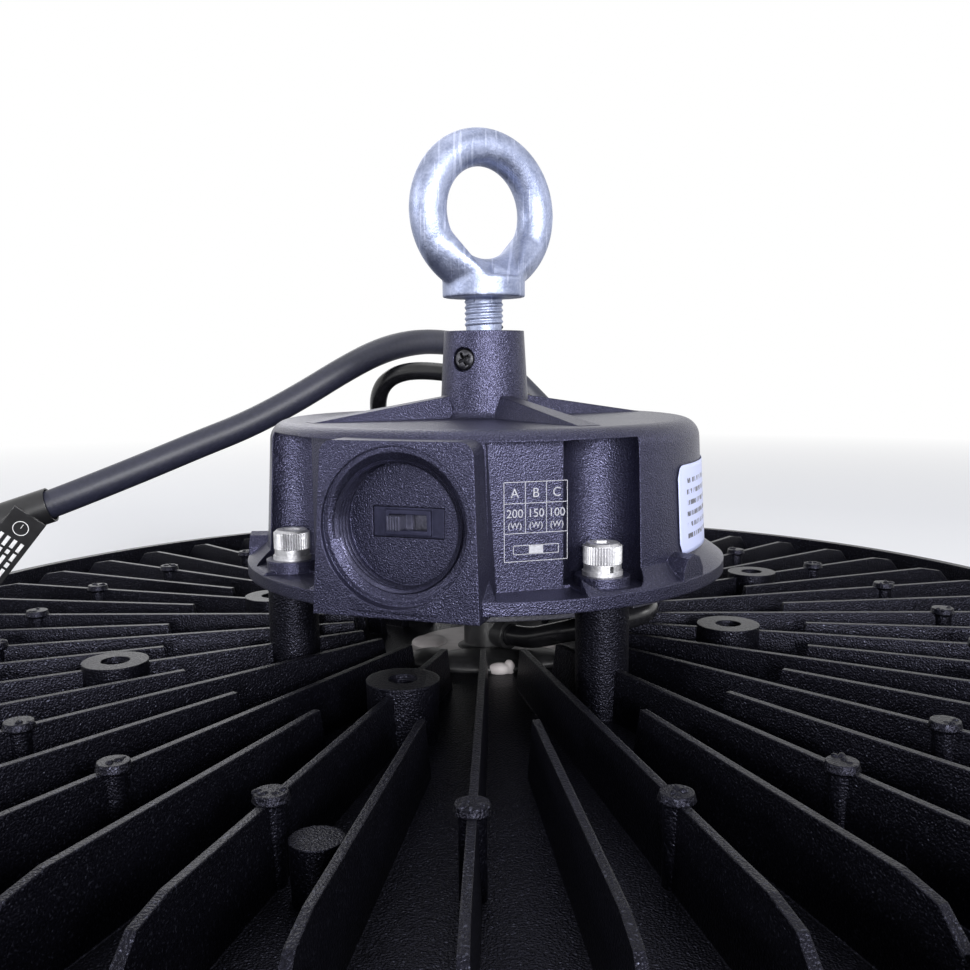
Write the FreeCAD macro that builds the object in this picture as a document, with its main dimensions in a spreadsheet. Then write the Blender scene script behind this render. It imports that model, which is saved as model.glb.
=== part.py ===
import FreeCAD, Part
import math
import os

import Sketcher
from FreeCAD import Placement, Rotation, Vector

# High bay light: a finned die-cast heat sink with the LED optics under it, a cast driver
# housing on four posts above it, and a lifting eye on top. Millimetres, +Z up, the origin
# on the lamp's axis at the underside. Azimuths are degrees from +X, anticlockwise.

doc = FreeCAD.newDocument("HighBayLight")

# Driving dimensions. Every *_z is a height above the underside.
SIZES = {
    # heat sink casting
    "rim_radius": 180.0, "rim_lip": 3.6, "rim_top_z": 32.3, "rim_foot_z": 17.0,
    "skirt_radius": 178.6, "skirt_z": 12.0, "sink_foot_radius": 172.0, "sink_foot_z": 4.0,
    "hub_floor_z": 23.5, "hub_floor_radius": 34.0, "roof_z": 12.0, "roof_radius": 148.0,
    "seat_z": 9.5, "seat_radius": 159.0, "wire_well_radius": 28.0, "wire_well_z": 17.0,
    "lead_hole_radius": 3.6,
    # fins
    "fin_count": 24, "fin_top_z": 34.0, "fin_root_z": 15.5, "fin_half_land": 0.75,
    "fin_half_root": 1.6, "fin_inner": 37.0, "fin_inner_root": 34.0,
    "short_fin_inner": 86.5, "short_fin_root": 83.0,
    "fin_outer": 173.5, "shoulder_start": 157.0, "shoulder_mid": 164.5,
    "shoulder_mid_z": 32.6, "shoulder_low": 169.0, "shoulder_low_z": 28.0,
    "shoulder_end": 171.6, "shoulder_end_z": 20.5,
    # ejector columns and bosses among the fins
    "column_circle": 126.7, "column_radius": 2.3, "column_cap_radius": 3.2,
    "column_cap_z": 33.2, "column_top_z": 35.2,
    "boss_circle": 66.0, "boss_radius": 7.5, "boss_top_z": 35.3, "boss_hole_radius": 2.5,
    "boss_dish_radius": 3.3, "boss_dish_z": 34.5, "boss_hole_z": 24.0,
    "outer_boss_circle": 99.0, "outer_boss_radius": 7.0, "boss_draft": 1.5,
    "stub_circle": 129.5, "stub_radius": 4.0, "stub_top_z": 29.5, "stub_draft": 2.0,
    # posts that carry the driver housing
    "post_circle": 55.5, "post_radius": 6.2, "post_count": 4, "flange_z": 49.2,
    "post_hole_radius": 2.5, "post_hole_z": 36.0,
    # driver housing
    "flange_radius": 64.4, "flange_top_z": 52.3, "drum_foot_radius": 59.0, "cone_top_z": 56.2,
    "drum_top_radius": 57.3, "drum_top_z": 89.0, "drum_edge": 5.0,
    "tower_foot_radius": 12.1, "tower_top_radius": 10.8, "tower_top_z": 112.0,
    "tower_foot_round": 2.5, "tower_bore_radius": 5.0, "tower_bore_z": 91.0,
    "roof_thickness": 3.5, "cavity_radius": 54.5, "cavity_front_radius": 50.5,
    "screw_wall_radius": 12.0, "screw_bay_radius": 9.3, "bay_z": 53.0, "bay_top_z": 86.5,
    "lug_radius": 6.4, "lug_top_z": 55.2, "screw_clearance": 2.75,
    "rib_root_z": 87.0, "rib_start": 9.0, "rib_end": 50.0, "rib_top_z": 95.2,
    "rib_end_z": 89.1, "rib_half_root": 4.6, "rib_half_land": 1.7, "rib_half_end": 3.0,
    # square port block and the flat beside it
    "block_azimuth": -107.5, "block_face": 63.6, "block_half_width": 19.9, "block_z": 47.8,
    "block_top_z": 87.0, "block_draft": 2.6, "block_inner": 38.0, "overhang_radius": 57.4,
    "port_z": 68.0, "port_mouth_radius": 17.9, "port_step_radius": 16.6,
    "port_bore_radius": 14.9, "port_face": 62.8, "port_lip": 61.5, "port_step": 60.0,
    "port_shoulder": 57.2, "port_end_radius": 14.5, "port_floor": 54.6,
    "port_outside": 66.0, "window_half_width": 8.75, "window_half_height": 3.55,
    "flat_azimuth": -72.0, "flat_face": 53.4, "flat_top_z": 86.4, "flat_near": 4.0,
    "flat_far": 16.5, "block_round": 3.2,
    # cable side
    "cable_azimuth": 75.0, "cable_z": 68.0, "cable_face": 60.5, "cable_offset": 14.0,
    "cable_boss_radius": 12.0, "cable_boss_inner": 47.0, "mains_hole_radius": 8.1,
    "output_hole_radius": 6.1,
    "tab_azimuth": -38.5, "tab_inner": 55.0, "tab_outer": 64.2, "tab_half_width": 4.7,
    "tab_top_z": 58.2, "tab_shoulder_z": 54.5,
    # set screw in the tower
    "set_azimuth": -119.0, "set_z": 104.5, "set_recess_radius": 3.25, "set_recess": 9.2,
    "set_hole_radius": 2.0, "set_head_radius": 2.9, "set_head_face": 10.6,
    # bottom cover
    "cover_radius": 57.0, "cover_z": 46.2, "cover_top_z": 48.2, "cover_notch": 8.2,
    "gasket_inner": 44.0, "cover_screw_circle": 48.5, "cover_screw_head": 2.7,
    "cover_screw_z": 44.6, "cover_screw_radius": 1.45, "cover_screw_top_z": 55.0,
    "cover_boss_radius": 4.6, "cover_boss_z": 58.0, "cover_hole_radius": 1.5,
    "cover_hole_z": 56.0,
    # housing screws
    "washer_radius": 4.7, "washer_hole": 2.7, "washer_top_z": 56.2, "spring_radius": 4.35,
    "spring_hole": 2.65, "spring_top_z": 57.6, "spring_gap": 0.9, "cap_radius": 4.25,
    "cap_top_z": 62.6, "cap_edge": 0.5, "hex_across": 4.0, "hex_floor_z": 60.0,
    "shank_radius": 2.45, "shank_end_z": 37.5,
    # lifting eye
    "eye_azimuth": 33.8, "eye_z": 143.2, "eye_circle": 16.95, "eye_wire": 4.95,
    "collar_radius": 11.2, "collar_z": 120.9, "collar_top_z": 126.6, "neck_top_z": 130.4,
    "neck_radius": 7.0, "eye_shank_radius": 4.9, "eye_shank_z": 92.5,
    # power select switch, its face looking out of the port
    "switch_half_width": 8.6, "switch_half_height": 3.4, "switch_face": 54.4,
    "switch_back": 46.6, "bezel_half_width": 5.6, "bezel_half_height": 2.9,
    "bezel_face": 55.0, "slot_half_width": 4.6, "slot_half_height": 1.8,
    "chamber_half_width": 6.4, "chamber_half_height": 2.6, "chamber_front": 53.2,
    "chamber_back": 50.4, "knob_rest": 2.8, "knob_half_width": 1.6,
    "knob_half_height": 1.65, "knob_face": 56.9, "knob_rib": 0.45, "knob_groove": 0.4,
    "carrier_half_width": 3.2, "carrier_half_height": 2.4, "carrier_back": 51.7,
    "carrier_front": 53.1, "contact_front": 51.5, "contact_half_width": 6.0,
    "contact_half_height": 2.2, "terminal_back": 43.4, "terminal_half": 0.4,
    # driver inside the housing
    "board_radius": 42.5, "board_z": 54.2, "board_thickness": 1.6,
    "spacer_circle": 38.0, "spacer_radius": 3.0,
    # cable glands, measured along their own axes from the boss face
    "mains_thread": 11.0, "mains_hex": 19.0, "mains_hex_end": 5.0, "mains_nut": 9.2,
    "mains_nut_end": 17.0, "mains_nut_tip": 6.6, "mains_end": 21.0, "output_thread": 9.0,
    "output_hex": 15.0, "output_hex_end": 4.0, "output_nut": 7.2, "output_nut_end": 13.0,
    "output_nut_tip": 4.8, "output_end": 16.0,
    # optics under the heat sink
    "led_board_radius": 144.0, "led_board_z": 10.2, "led_half_width": 2.5, "led_z": 9.3,
    "lens_radius": 157.6, "lens_z": 4.0, "lens_top_z": 7.6, "dome_z": 0.9, "dome_radius": 6.5,
    "dome_tip_radius": 3.4, "lens_seal_inner": 149.5, "lens_seal_outer": 156.8,
    "bezel_inner": 149.0, "bezel_outer": 171.0, "bezel_count": 12,
    "bezel_screw_circle": 165.5, "bezel_screw_head": 3.2, "bezel_recess_z": 2.2,
    "bezel_screw_radius": 1.6, "bezel_screw_top_z": 14.0,
    # cords
    "label_radius": 5.3, "label_gap": 0.55, "label_band": 20.0, "label_width": 10.5,
    "label_tail": 28.0, "label_thickness": 0.5, "mains_radius": 4.3, "output_radius": 2.9,
    "core_radius": 1.35, "core_length": 26.0,
    "seal_disc_radius": 22.0, "seal_disc_z": 23.5, "seal_disc_top_z": 25.0,
    "entry_foot_radius": 8.0, "entry_radius": 6.2, "entry_top_z": 34.2,
    "entry_azimuth": -42.0, "entry_port_z": 29.4, "entry_depth": 4.0, "entry_sleeve": 9.0,
}
# What stands on the driver board: middle x and y, then length, width and height.
BOARD_PARTS = {
    "transformer": (6.0, 8.0, 30.0, 25.0, 22.0),
    "film_capacitor": (4.0, -25.0, 17.0, 8.0, 13.0),
    "heat_spreader": (2.0, 31.0, 34.0, 3.0, 20.0),
    "terminal_block": (30.0, 8.0, 9.0, 22.0, 11.0),
}
BOARD_CANS = {                                   # middle x and y, then radius and height
    "electrolytic_capacitors": ((-24.0, 14.0, 8.0, 25.0), (-24.0, -4.0, 8.0, 25.0)),
    "choke": ((25.0, -16.0, 9.0, 15.0),),
    "transistors": ((-8.0, 28.0, 1.0, 16.0),),
}
LED_RINGS = ((45.0, 12), (80.0, 20), (115.0, 28))        # ring radius, LEDs on it
POST_AZIMUTHS = (-150.0, -60.0, 30.0, 120.0)

for name, numbers in BOARD_PARTS.items():
    for side, number in zip(("x", "y", "length", "width", "height"), numbers):
        SIZES[f"{name}_{side}"] = number
for name, cans in BOARD_CANS.items():
    for order, numbers in enumerate(cans):
        for side, number in zip(("x", "y", "radius", "height"), numbers):
            SIZES[f"{name}_{order}_{side}"] = number
for order, (led_circle, _) in enumerate(LED_RINGS):
    SIZES[f"led_ring_{order}"] = led_circle

sheet = doc.addObject("Spreadsheet::Sheet", "Sizes")
for row, (alias, amount) in enumerate(SIZES.items(), 1):
    sheet.set(f"A{row}", alias)
    sheet.set(f"B{row}", str(amount))
    sheet.setAlias(f"B{row}", alias)
doc.recompute()


# ---------------------------------------------------------------- helpers
def value(formula):
    """The number that a sum of sizes stands for, such as "post_circle + lug_radius"."""
    total, sign = 0.0, 1.0
    for word in formula.split():
        if word in ("+", "-"):
            sign = 1.0 if word == "+" else -1.0
        elif word[0].isdigit():
            total += sign * float(word)
        else:
            total += sign * float(sheet.get(word))
    return total


def bound(formula):
    """The same sum as an expression on the sheet's cells."""
    words = formula.split()
    return " ".join("Sizes." + word if word[0].isalpha() else word for word in words)


def azimuth(angle, radius, height=0.0):
    """A point at an azimuth, a radius and a height."""
    turn = math.radians(angle)
    return Vector(radius * math.cos(turn), radius * math.sin(turn), height)


def new_body(label):
    body = doc.addObject("PartDesign::Body", label)
    body.Label = label
    return body


def origin_part(body, role):
    return next(part for part in body.Origin.OriginFeatures if part.Role == role)


def flat_sketch(body, name, height="0", turn=0.0):
    """A horizontal sketch at a height, its own X axis at the azimuth turn."""
    sketch = body.newObject("Sketcher::SketchObject", name)
    sketch.AttachmentSupport = (origin_part(body, "XY_Plane"), [""])
    sketch.MapMode = "FlatFace"
    sketch.AttachmentOffset = Placement(Vector(), Rotation(Vector(0, 0, 1), turn))
    sketch.setExpression("AttachmentOffset.Base.z", bound(height))
    return sketch


def upright_sketch(body, name, turn=0.0, height="0"):
    """An upright sketch through the axis: X is the radius at the azimuth turn, Y is up."""
    sketch = body.newObject("Sketcher::SketchObject", name)
    sketch.AttachmentSupport = (origin_part(body, "XZ_Plane"), [""])
    sketch.MapMode = "FlatFace"
    sketch.AttachmentOffset = Placement(Vector(), Rotation(Vector(0, 1, 0), turn))
    sketch.setExpression("AttachmentOffset.Base.y", bound(height))
    return sketch


def pin(sketch, line, corner, x, y):
    """Holds one end of a line (or a centre) at two bound distances from the origin."""
    for kind, axis, formula in (("DistanceX", -2, x), ("DistanceY", -1, y)):
        if formula == "0":
            sketch.addConstraint(Sketcher.Constraint("PointOnObject", line, corner, axis))
            continue
        place = value(formula)
        index = sketch.addConstraint(Sketcher.Constraint(kind, -1, 1, line, corner, place))
        sketch.setExpression(f"Constraints[{index}]", bound(formula))


def polygon(sketch, corners):
    """A closed outline through corners, each a pair of sums of sizes."""
    spots = [Vector(value(x), value(y), 0) for x, y in corners]
    first = sketch.GeometryCount
    count = len(spots)
    for step in range(count):
        sketch.addGeometry(Part.LineSegment(spots[step], spots[(step + 1) % count]))
    for step in range(count):
        follower = first + (step + 1) % count
        sketch.addConstraint(Sketcher.Constraint("Coincident", first + step, 2, follower, 1))
        pin(sketch, first + step, 1, *corners[step])


def rectangle(sketch, x0, x1, y0, y1):
    polygon(sketch, [(x0, y0), (x1, y0), (x1, y1), (x0, y1)])


def circle(sketch, radius, x="0", y="0"):
    centre = Vector(value(x), value(y), 0)
    line = sketch.addGeometry(Part.Circle(centre, Vector(0, 0, 1), value(radius)))
    pin(sketch, line, 3, x, y)
    index = sketch.addConstraint(Sketcher.Constraint("Radius", line, value(radius)))
    sketch.setExpression(f"Constraints[{index}]", bound(radius))


def own_axis(sketch, x):
    """An upright construction line, for a piece that is turned about its own axis."""
    spot = value(x)
    line = sketch.addGeometry(Part.LineSegment(Vector(spot, 0, 0), Vector(spot, 10, 0)), True)
    sketch.addConstraint(Sketcher.Constraint("Vertical", line))
    pin(sketch, line, 1, x, "0")
    sketch.addConstraint(Sketcher.Constraint("Distance", line, 10))


def hexagon(sketch, x, across):
    """A hexagon of a width across its flats, centred at x on the sketch's X axis."""
    reach = value(across) / math.sqrt(3)
    spots = [Vector(value(x), 0, 0) + azimuth(60 * step, reach) for step in range(6)]
    for step in range(6):
        sketch.addGeometry(Part.LineSegment(spots[step], spots[(step + 1) % 6]))


def feature(body, kind, name, sketch):
    made = body.newObject("PartDesign::" + kind, name)
    made.Profile = sketch
    made.Refine = False
    sketch.Visibility = False
    body.Tip = made
    return made


def pad(body, name, sketch, length, taper=0.0):
    made = feature(body, "Pad", name, sketch)
    made.setExpression("Length", bound(length))
    made.TaperAngle = taper
    return made


def pocket(body, name, sketch, length, upward=False):
    made = feature(body, "Pocket", name, sketch)
    made.setExpression("Length", bound(length))
    made.Reversed = upward
    return made


def revolve(body, name, sketch, axis="V_Axis", cut=False):
    made = feature(body, "Groove" if cut else "Revolution", name, sketch)
    made.ReferenceAxis = (sketch, [axis])
    made.Angle = 360.0
    return made


def ring_of(body, name, features, count):
    """Repeats features round the lamp's axis; count is a number or the name of a size."""
    made = body.newObject("PartDesign::PolarPattern", name)
    made.Originals = features
    made.Axis = (origin_part(body, "Z_Axis"), [""])
    made.Angle = 360.0
    made.setExpression("Occurrences", bound(str(count)))
    made.Refine = False
    body.Tip = made


def round_edges(body, name, base, radius, chosen, kind="Fillet"):
    """Rounds (or chamfers) the edges of base for which chosen(edge) is true."""
    doc.recompute()
    names = [f"Edge{n}" for n, edge in enumerate(base.Shape.Edges, 1) if chosen(edge)]
    made = body.newObject("PartDesign::" + kind, name)
    made.Base = (base, names)
    made.setExpression("Radius" if kind == "Fillet" else "Size", bound(radius))
    body.Tip = made
    return made


def is_level_circle(edge, radius, height, slack=0.05):
    """Whether an edge lies level at a height, on a circle of a radius about the axis."""
    box = edge.BoundBox
    middle = edge.valueAt((edge.FirstParameter + edge.LastParameter) / 2)
    level = abs(box.ZMin - height) < slack and abs(box.ZMax - height) < slack
    return level and abs(math.hypot(middle.x, middle.y) - radius) < slack


def tube_path(points):
    """Straight runs through points joined by tangent arcs, as one wire and its radii."""
    edges, radii, start = [], [], points[0]
    for before, corner, after in zip(points, points[1:], points[2:]):
        inward, outward = corner - before, after - corner
        reach = 0.45 * min(inward.Length, outward.Length)
        half_turn = inward.getAngle(outward) / 2
        inward.normalize()
        outward.normalize()
        first, last = corner - inward * reach, corner + outward * reach
        bend = reach / math.tan(half_turn)
        middle = corner + (outward - inward).normalize() * (bend / math.cos(half_turn) - bend)
        edges += [Part.LineSegment(start, first).toShape(),
                  Part.Arc(first, middle, last).toShape()]
        radii.append(round(bend, 1))
        start = last
    edges.append(Part.LineSegment(start, points[-1]).toShape())
    return Part.Wire(edges), radii


def shaped(label, shape):
    """A piece whose shape is worked out from the sheet's sizes in code."""
    made = doc.addObject("Part::Feature", label)
    made.Shape = shape
    made.Label = label


def cord(label, points, radius):
    """A round cord's solid along a route, checked against its section times its length."""
    spots = [Vector(*point) for point in points]
    path, radii = tube_path(spots)
    section = Part.Wire(Part.Circle(spots[0], spots[1] - spots[0], radius).toShape())
    solid = path.makePipeShell([section], True, False)
    expected = math.pi * radius ** 2 * path.Length
    print(label, "length", round(path.Length), "radii", radii,
          "volume ratio", round(solid.Volume / expected, 4))
    shaped(label, solid)


# ---------------------------------------------------------------- heat sink
def heat_sink():
    """One casting: floor, rim, fins, ejector columns, screw bosses and housing posts."""
    body = new_body("heat_sink")
    section = upright_sketch(body, "SinkSection")
    polygon(section, [
        ("lead_hole_radius", "hub_floor_z"), ("hub_floor_radius", "hub_floor_z"),
        ("fin_outer", "rim_foot_z"), ("rim_radius - rim_lip", "rim_foot_z + 0.8"),
        ("rim_radius - rim_lip + 0.6", "rim_top_z"), ("rim_radius", "rim_top_z"),
        ("skirt_radius", "skirt_z"), ("sink_foot_radius + 4", "sink_foot_z + 2"),
        ("sink_foot_radius", "sink_foot_z"), ("seat_radius", "sink_foot_z"),
        ("seat_radius", "seat_z"), ("roof_radius", "seat_z"), ("roof_radius", "roof_z"),
        ("wire_well_radius", "roof_z"), ("wire_well_radius", "wire_well_z"),
        ("lead_hole_radius", "wire_well_z")])
    revolve(body, "Plate", section)
    fins = [fin(body, "FullFin", -90.0, "fin_inner", "fin_inner_root"),
            fin(body, "ShortFin", -82.5, "short_fin_inner", "short_fin_root")]
    ring_of(body, "Fins", fins, "fin_count")
    shoulder = upright_sketch(body, "ShoulderCut")
    polygon(shoulder, [
        ("shoulder_start", "fin_top_z + 1"), ("shoulder_start", "fin_top_z"),
        ("shoulder_mid", "shoulder_mid_z"), ("shoulder_low", "shoulder_low_z"),
        ("shoulder_end", "shoulder_end_z"), ("fin_outer - 1", "rim_foot_z + 1"),
        ("rim_radius - rim_lip", "rim_foot_z + 1"),
        ("rim_radius - rim_lip + 0.5", "fin_top_z + 1")])
    revolve(body, "FinShoulders", shoulder, cut=True)
    profile = upright_sketch(body, "ColumnSection", -90.0)
    polygon(profile, [
        ("column_circle", "fin_root_z"), ("column_circle + column_radius", "fin_root_z"),
        ("column_circle + column_radius", "column_cap_z"),
        ("column_circle + column_cap_radius", "column_cap_z + 0.6"),
        ("column_circle + column_cap_radius - 0.4", "column_top_z"),
        ("column_circle", "column_top_z")])
    own_axis(profile, "column_circle")
    column = revolve(body, "Column", profile, "Axis0")
    ring_of(body, "Columns", [column], "fin_count")
    outline = round_at(body, "BezelTapOutline", "lens_z", 0.0, "bezel_screw_circle",
                       "bezel_screw_radius + 0.1")
    tap = pocket(body, "BezelTap", outline, "bezel_screw_top_z - lens_z + 0.5", upward=True)
    ring_of(body, "BezelTaps", [tap], "bezel_count")
    bosses(body)


def fin(body, name, turn, inner, inner_root):
    """A drafted fin: a wide rectangle in the floor lofted to a narrow land on top."""
    root = flat_sketch(body, name + "Root", "fin_root_z", turn)
    rectangle(root, inner_root, "fin_outer", "0 - fin_half_root", "fin_half_root")
    land = flat_sketch(body, name + "Land", "fin_top_z", turn)
    rectangle(land, inner, "fin_outer", "0 - fin_half_land", "fin_half_land")
    loft = feature(body, "AdditiveLoft", name, root)
    loft.Sections = [land]
    return loft


def round_at(body, name, height, turn, spot, radius):
    """A level circle at a radius and an azimuth."""
    sketch = flat_sketch(body, name, height, turn)
    circle(sketch, radius, spot)
    return sketch


def bosses(body):
    """Screw bosses on the fins, low stubs between them and the four tall posts."""
    for name, spot, radius, turn, count in (
            ("Boss", "boss_circle", "boss_radius", -105.0, 4),
            ("OuterBoss", "outer_boss_circle", "outer_boss_radius", -150.0, 2)):
        outline = round_at(body, name + "Outline", "fin_root_z", turn, spot, radius)
        boss = pad(body, name, outline, "boss_top_z - fin_root_z",
                   value("boss_draft"))
        ring_of(body, name + "s", [boss], count)
        bore = upright_sketch(body, name + "Bore", turn)
        polygon(bore, [
            (spot, "boss_hole_z"), (spot + " + boss_hole_radius", "boss_hole_z"),
            (spot + " + boss_hole_radius", "boss_dish_z"),
            (spot + " + boss_dish_radius", "boss_dish_z"),
            (spot + " + boss_dish_radius", "boss_top_z + 1"), (spot, "boss_top_z + 1")])
        own_axis(bore, spot)
        bored = revolve(body, name + "Hole", bore, "Axis0", cut=True)
        ring_of(body, name + "Holes", [bored], count)
    outline = round_at(body, "StubOutline", "fin_root_z", -101.0, "stub_circle", "stub_radius")
    stub = pad(body, "Stub", outline, "stub_top_z - fin_root_z", value("stub_draft"))
    ring_of(body, "Stubs", [stub], "post_count")
    outline = round_at(body, "PostOutline", "fin_root_z", -60.0, "post_circle", "post_radius")
    post = pad(body, "Post", outline, "flange_z - fin_root_z")
    ring_of(body, "Posts", [post], "post_count")
    outline = round_at(body, "PostHoleOutline", "flange_z", -60.0, "post_circle",
                       "post_hole_radius")
    hole = pocket(body, "PostHole", outline, "flange_z - post_hole_z")
    ring_of(body, "PostHoles", [hole], "post_count")


# ---------------------------------------------------------------- driver housing
def cross_sketch(body, name, turn, distance, height="0"):
    """An upright sketch square to the radius at the azimuth turn: Y is up, X is sideways."""
    sketch = body.newObject("Sketcher::SketchObject", name)
    sketch.AttachmentSupport = (origin_part(body, "XZ_Plane"), [""])
    sketch.MapMode = "FlatFace"
    spin = Rotation(Vector(0, 1, 0), turn + 90)
    offset = spin.multVec(Vector(0, 0, value(distance))) + Vector(0, value(height), 0)
    sketch.AttachmentOffset = Placement(offset, spin)
    return sketch


def driver_housing():
    """One casting: drum, flange, tower, square port block, flats, screw bays and ribs."""
    body = new_body("driver_housing")
    section = upright_sketch(body, "DrumSection")
    polygon(section, [
        ("0", "flange_z"), ("flange_radius", "flange_z"), ("flange_radius", "flange_top_z"),
        ("drum_foot_radius", "cone_top_z"), ("drum_top_radius", "drum_top_z"),
        ("tower_foot_radius", "drum_top_z"), ("tower_top_radius", "tower_top_z"),
        ("0", "tower_top_z")])
    drum = revolve(body, "Drum", section)
    drum = round_edges(body, "DrumEdge", drum, "drum_edge",
                       lambda edge: is_level_circle(edge, value("drum_top_radius"),
                                                    value("drum_top_z")))
    round_edges(body, "TowerFoot", drum, "tower_foot_round",
                lambda edge: is_level_circle(edge, value("tower_foot_radius"),
                                             value("drum_top_z")))
    side_flats(body)
    port_block(body)
    screw_bays(body)
    hollow(body)
    cover_bosses(body)
    ribs(body)
    port(body)
    cable_entries(body)
    tabs(body)
    tower_holes(body)


def side_flats(body):
    """Flat faces on both sides of the block, where the drum's wall is cut back."""
    apart = value("flat_azimuth - block_azimuth")
    for name, turn, low, high in (
            ("RightFlat", value("block_azimuth") + apart, "0 - flat_far", "flat_near"),
            ("LeftFlat", value("block_azimuth") - apart, "0 - flat_near", "flat_far")):
        outline = flat_sketch(body, name + "Outline", "flange_top_z", turn)
        rectangle(outline, "flat_face", "flange_radius + 1", low, high)
        pocket(body, name, outline, "flat_top_z - flange_top_z", upward=True)


def port_block(body):
    """The square block that the port is cut in, drafted, its top corners rounded."""
    turn = value("block_azimuth")
    outline = flat_sketch(body, "BlockOutline", "block_z", turn)
    rectangle(outline, "block_inner", "block_face", "0 - block_half_width",
              "block_half_width")
    block = pad(body, "Block", outline, "block_top_z - block_z", -value("block_draft"))
    under = flat_sketch(body, "OverhangOutline", "block_z")
    circle(under, "overhang_radius")
    cleared = pocket(body, "Overhang", under, "flange_z - block_z", upward=True)
    outward = azimuth(turn, 1.0)

    def runs_out_on_top(edge):
        along = edge.valueAt(edge.LastParameter) - edge.valueAt(edge.FirstParameter)
        level = abs(edge.BoundBox.ZMin - value("block_top_z")) < 0.01
        straight = edge.Curve.TypeId == "Part::GeomLine" and along.Length > 1
        return level and straight and abs(along.normalize().dot(outward)) > 0.99

    round_edges(body, "BlockCorners", cleared, "block_round", runs_out_on_top)


def screw_bays(body):
    """Half-round bays in the wall above each screw, a lug in each and the screw's hole."""
    first = POST_AZIMUTHS[1]
    outline = round_at(body, "BayOutline", "bay_z", first, "post_circle", "screw_bay_radius")
    bay = pocket(body, "Bay", outline, "bay_top_z - bay_z", upward=True)
    ring_of(body, "Bays", [bay], "post_count")
    outline = round_at(body, "LugOutline", "flange_z", first, "post_circle", "lug_radius")
    lug = pad(body, "Lug", outline, "lug_top_z - flange_z")
    ring_of(body, "Lugs", [lug], "post_count")
    outline = round_at(body, "ScrewHoleOutline", "lug_top_z", first, "post_circle",
                       "screw_clearance")
    hole = pocket(body, "ScrewHole", outline, "lug_top_z - flange_z + 1")
    ring_of(body, "ScrewHoles", [hole], "post_count")


def cover_bosses(body):
    """Bosses on the cavity's wall that the bottom cover screws into."""
    outline = round_at(body, "CoverBossOutline", "flange_z", -82.5, "cover_screw_circle",
                       "cover_boss_radius")
    boss = pad(body, "CoverBoss", outline, "cover_boss_z - flange_z")
    ring_of(body, "CoverBosses", [boss], "post_count")
    outline = flat_sketch(body, "BossWebOutline", "flange_z", -82.5)
    rectangle(outline, "cover_screw_circle", "cavity_radius + 1", "0 - cover_hole_radius",
              "cover_hole_radius")
    web = pad(body, "BossWeb", outline, "flange_top_z - flange_z")
    ring_of(body, "BossWebs", [web], "post_count")
    outline = round_at(body, "CoverHoleOutline", "flange_z", -82.5, "cover_screw_circle",
                       "cover_hole_radius")
    hole = pocket(body, "CoverHole", outline, "cover_hole_z - flange_z", upward=True)
    ring_of(body, "CoverHoles", [hole], "post_count")


def cavity_outline(sketch):
    """Four wall arcs joined by four arcs that bow inwards round the screws' walls."""
    wall, centre = value("screw_wall_radius"), value("post_circle")
    front, back = value("cavity_front_radius"), value("cavity_radius")

    def half_gap(reach):
        cosine = (reach ** 2 + centre ** 2 - wall ** 2) / (2 * reach * centre)
        return math.degrees(math.acos(cosine))

    for step, post in enumerate(POST_AZIMUTHS):
        before = front if step == 1 else back
        after = front if step == 0 else back
        near, far = post + half_gap(after), post + 90 - half_gap(after)
        start = azimuth(near, after)
        sketch.addGeometry(Part.Arc(azimuth(post - half_gap(before), before),
                                    azimuth(post, centre - wall), start))
        sketch.addGeometry(Part.Arc(start, azimuth((near + far) / 2, after),
                                    azimuth(far, after)))


def hollow(body):
    """The driver's cavity, open at the bottom."""
    outline = flat_sketch(body, "CavityOutline", "flange_z")
    cavity_outline(outline)
    pocket(body, "Cavity", outline, "drum_top_z - roof_thickness - flange_z", upward=True)


def ribs(body):
    """Four ribs that run down from the tower to the drum's edge, over the screws."""
    turn = POST_AZIMUTHS[1]
    near = cross_sketch(body, "RibAtTower", turn, "rib_start")
    polygon(near, [("0 - rib_half_root", "rib_root_z"), ("rib_half_root", "rib_root_z"),
                   ("rib_half_land", "rib_top_z"), ("0 - rib_half_land", "rib_top_z")])
    far = cross_sketch(body, "RibAtEdge", turn, "rib_end")
    polygon(far, [("0 - rib_half_root", "rib_root_z"), ("rib_half_root", "rib_root_z"),
                  ("rib_half_end", "rib_end_z"), ("0 - rib_half_end", "rib_end_z")])
    rib = feature(body, "AdditiveLoft", "Rib", near)
    rib.Sections = [far]
    ring_of(body, "Ribs", [rib], "post_count")


def port(body):
    """The round port: a stepped mouth, a bore with a flat floor, a window for the switch."""
    turn = value("block_azimuth")
    section = upright_sketch(body, "PortSection", turn, "port_z")
    polygon(section, [
        ("port_outside", "0"), ("port_outside", "port_mouth_radius"),
        ("port_lip", "port_mouth_radius"), ("port_lip", "port_step_radius"),
        ("port_step", "port_bore_radius"), ("port_shoulder", "port_bore_radius"),
        ("port_shoulder", "port_end_radius"), ("port_floor", "port_end_radius"),
        ("port_floor", "0")])
    revolve(body, "Port", section, "H_Axis", cut=True)
    window = cross_sketch(body, "WindowOutline", turn, "port_floor", "port_z")
    rectangle(window, "0 - window_half_width", "window_half_width",
              "0 - window_half_height", "window_half_height")
    pocket(body, "Window", window, "port_floor - cavity_front_radius + 8")


def cable_entries(body):
    """Two round bosses at the back, drilled for the cable glands."""
    turn = value("cable_azimuth")
    for name, side, hole in (("Mains", "0 - cable_offset", "mains_hole_radius"),
                             ("Output", "cable_offset", "output_hole_radius")):
        outline = cross_sketch(body, name + "BossOutline", turn, "cable_boss_inner",
                               "cable_z")
        circle(outline, "cable_boss_radius", side)
        pad(body, name + "Boss", outline, "cable_face - cable_boss_inner")
        outline = cross_sketch(body, name + "HoleOutline", turn, "cable_face", "cable_z")
        circle(outline, hole, side)
        pocket(body, name + "Hole", outline, "cable_face - cable_boss_inner + 1")


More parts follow.
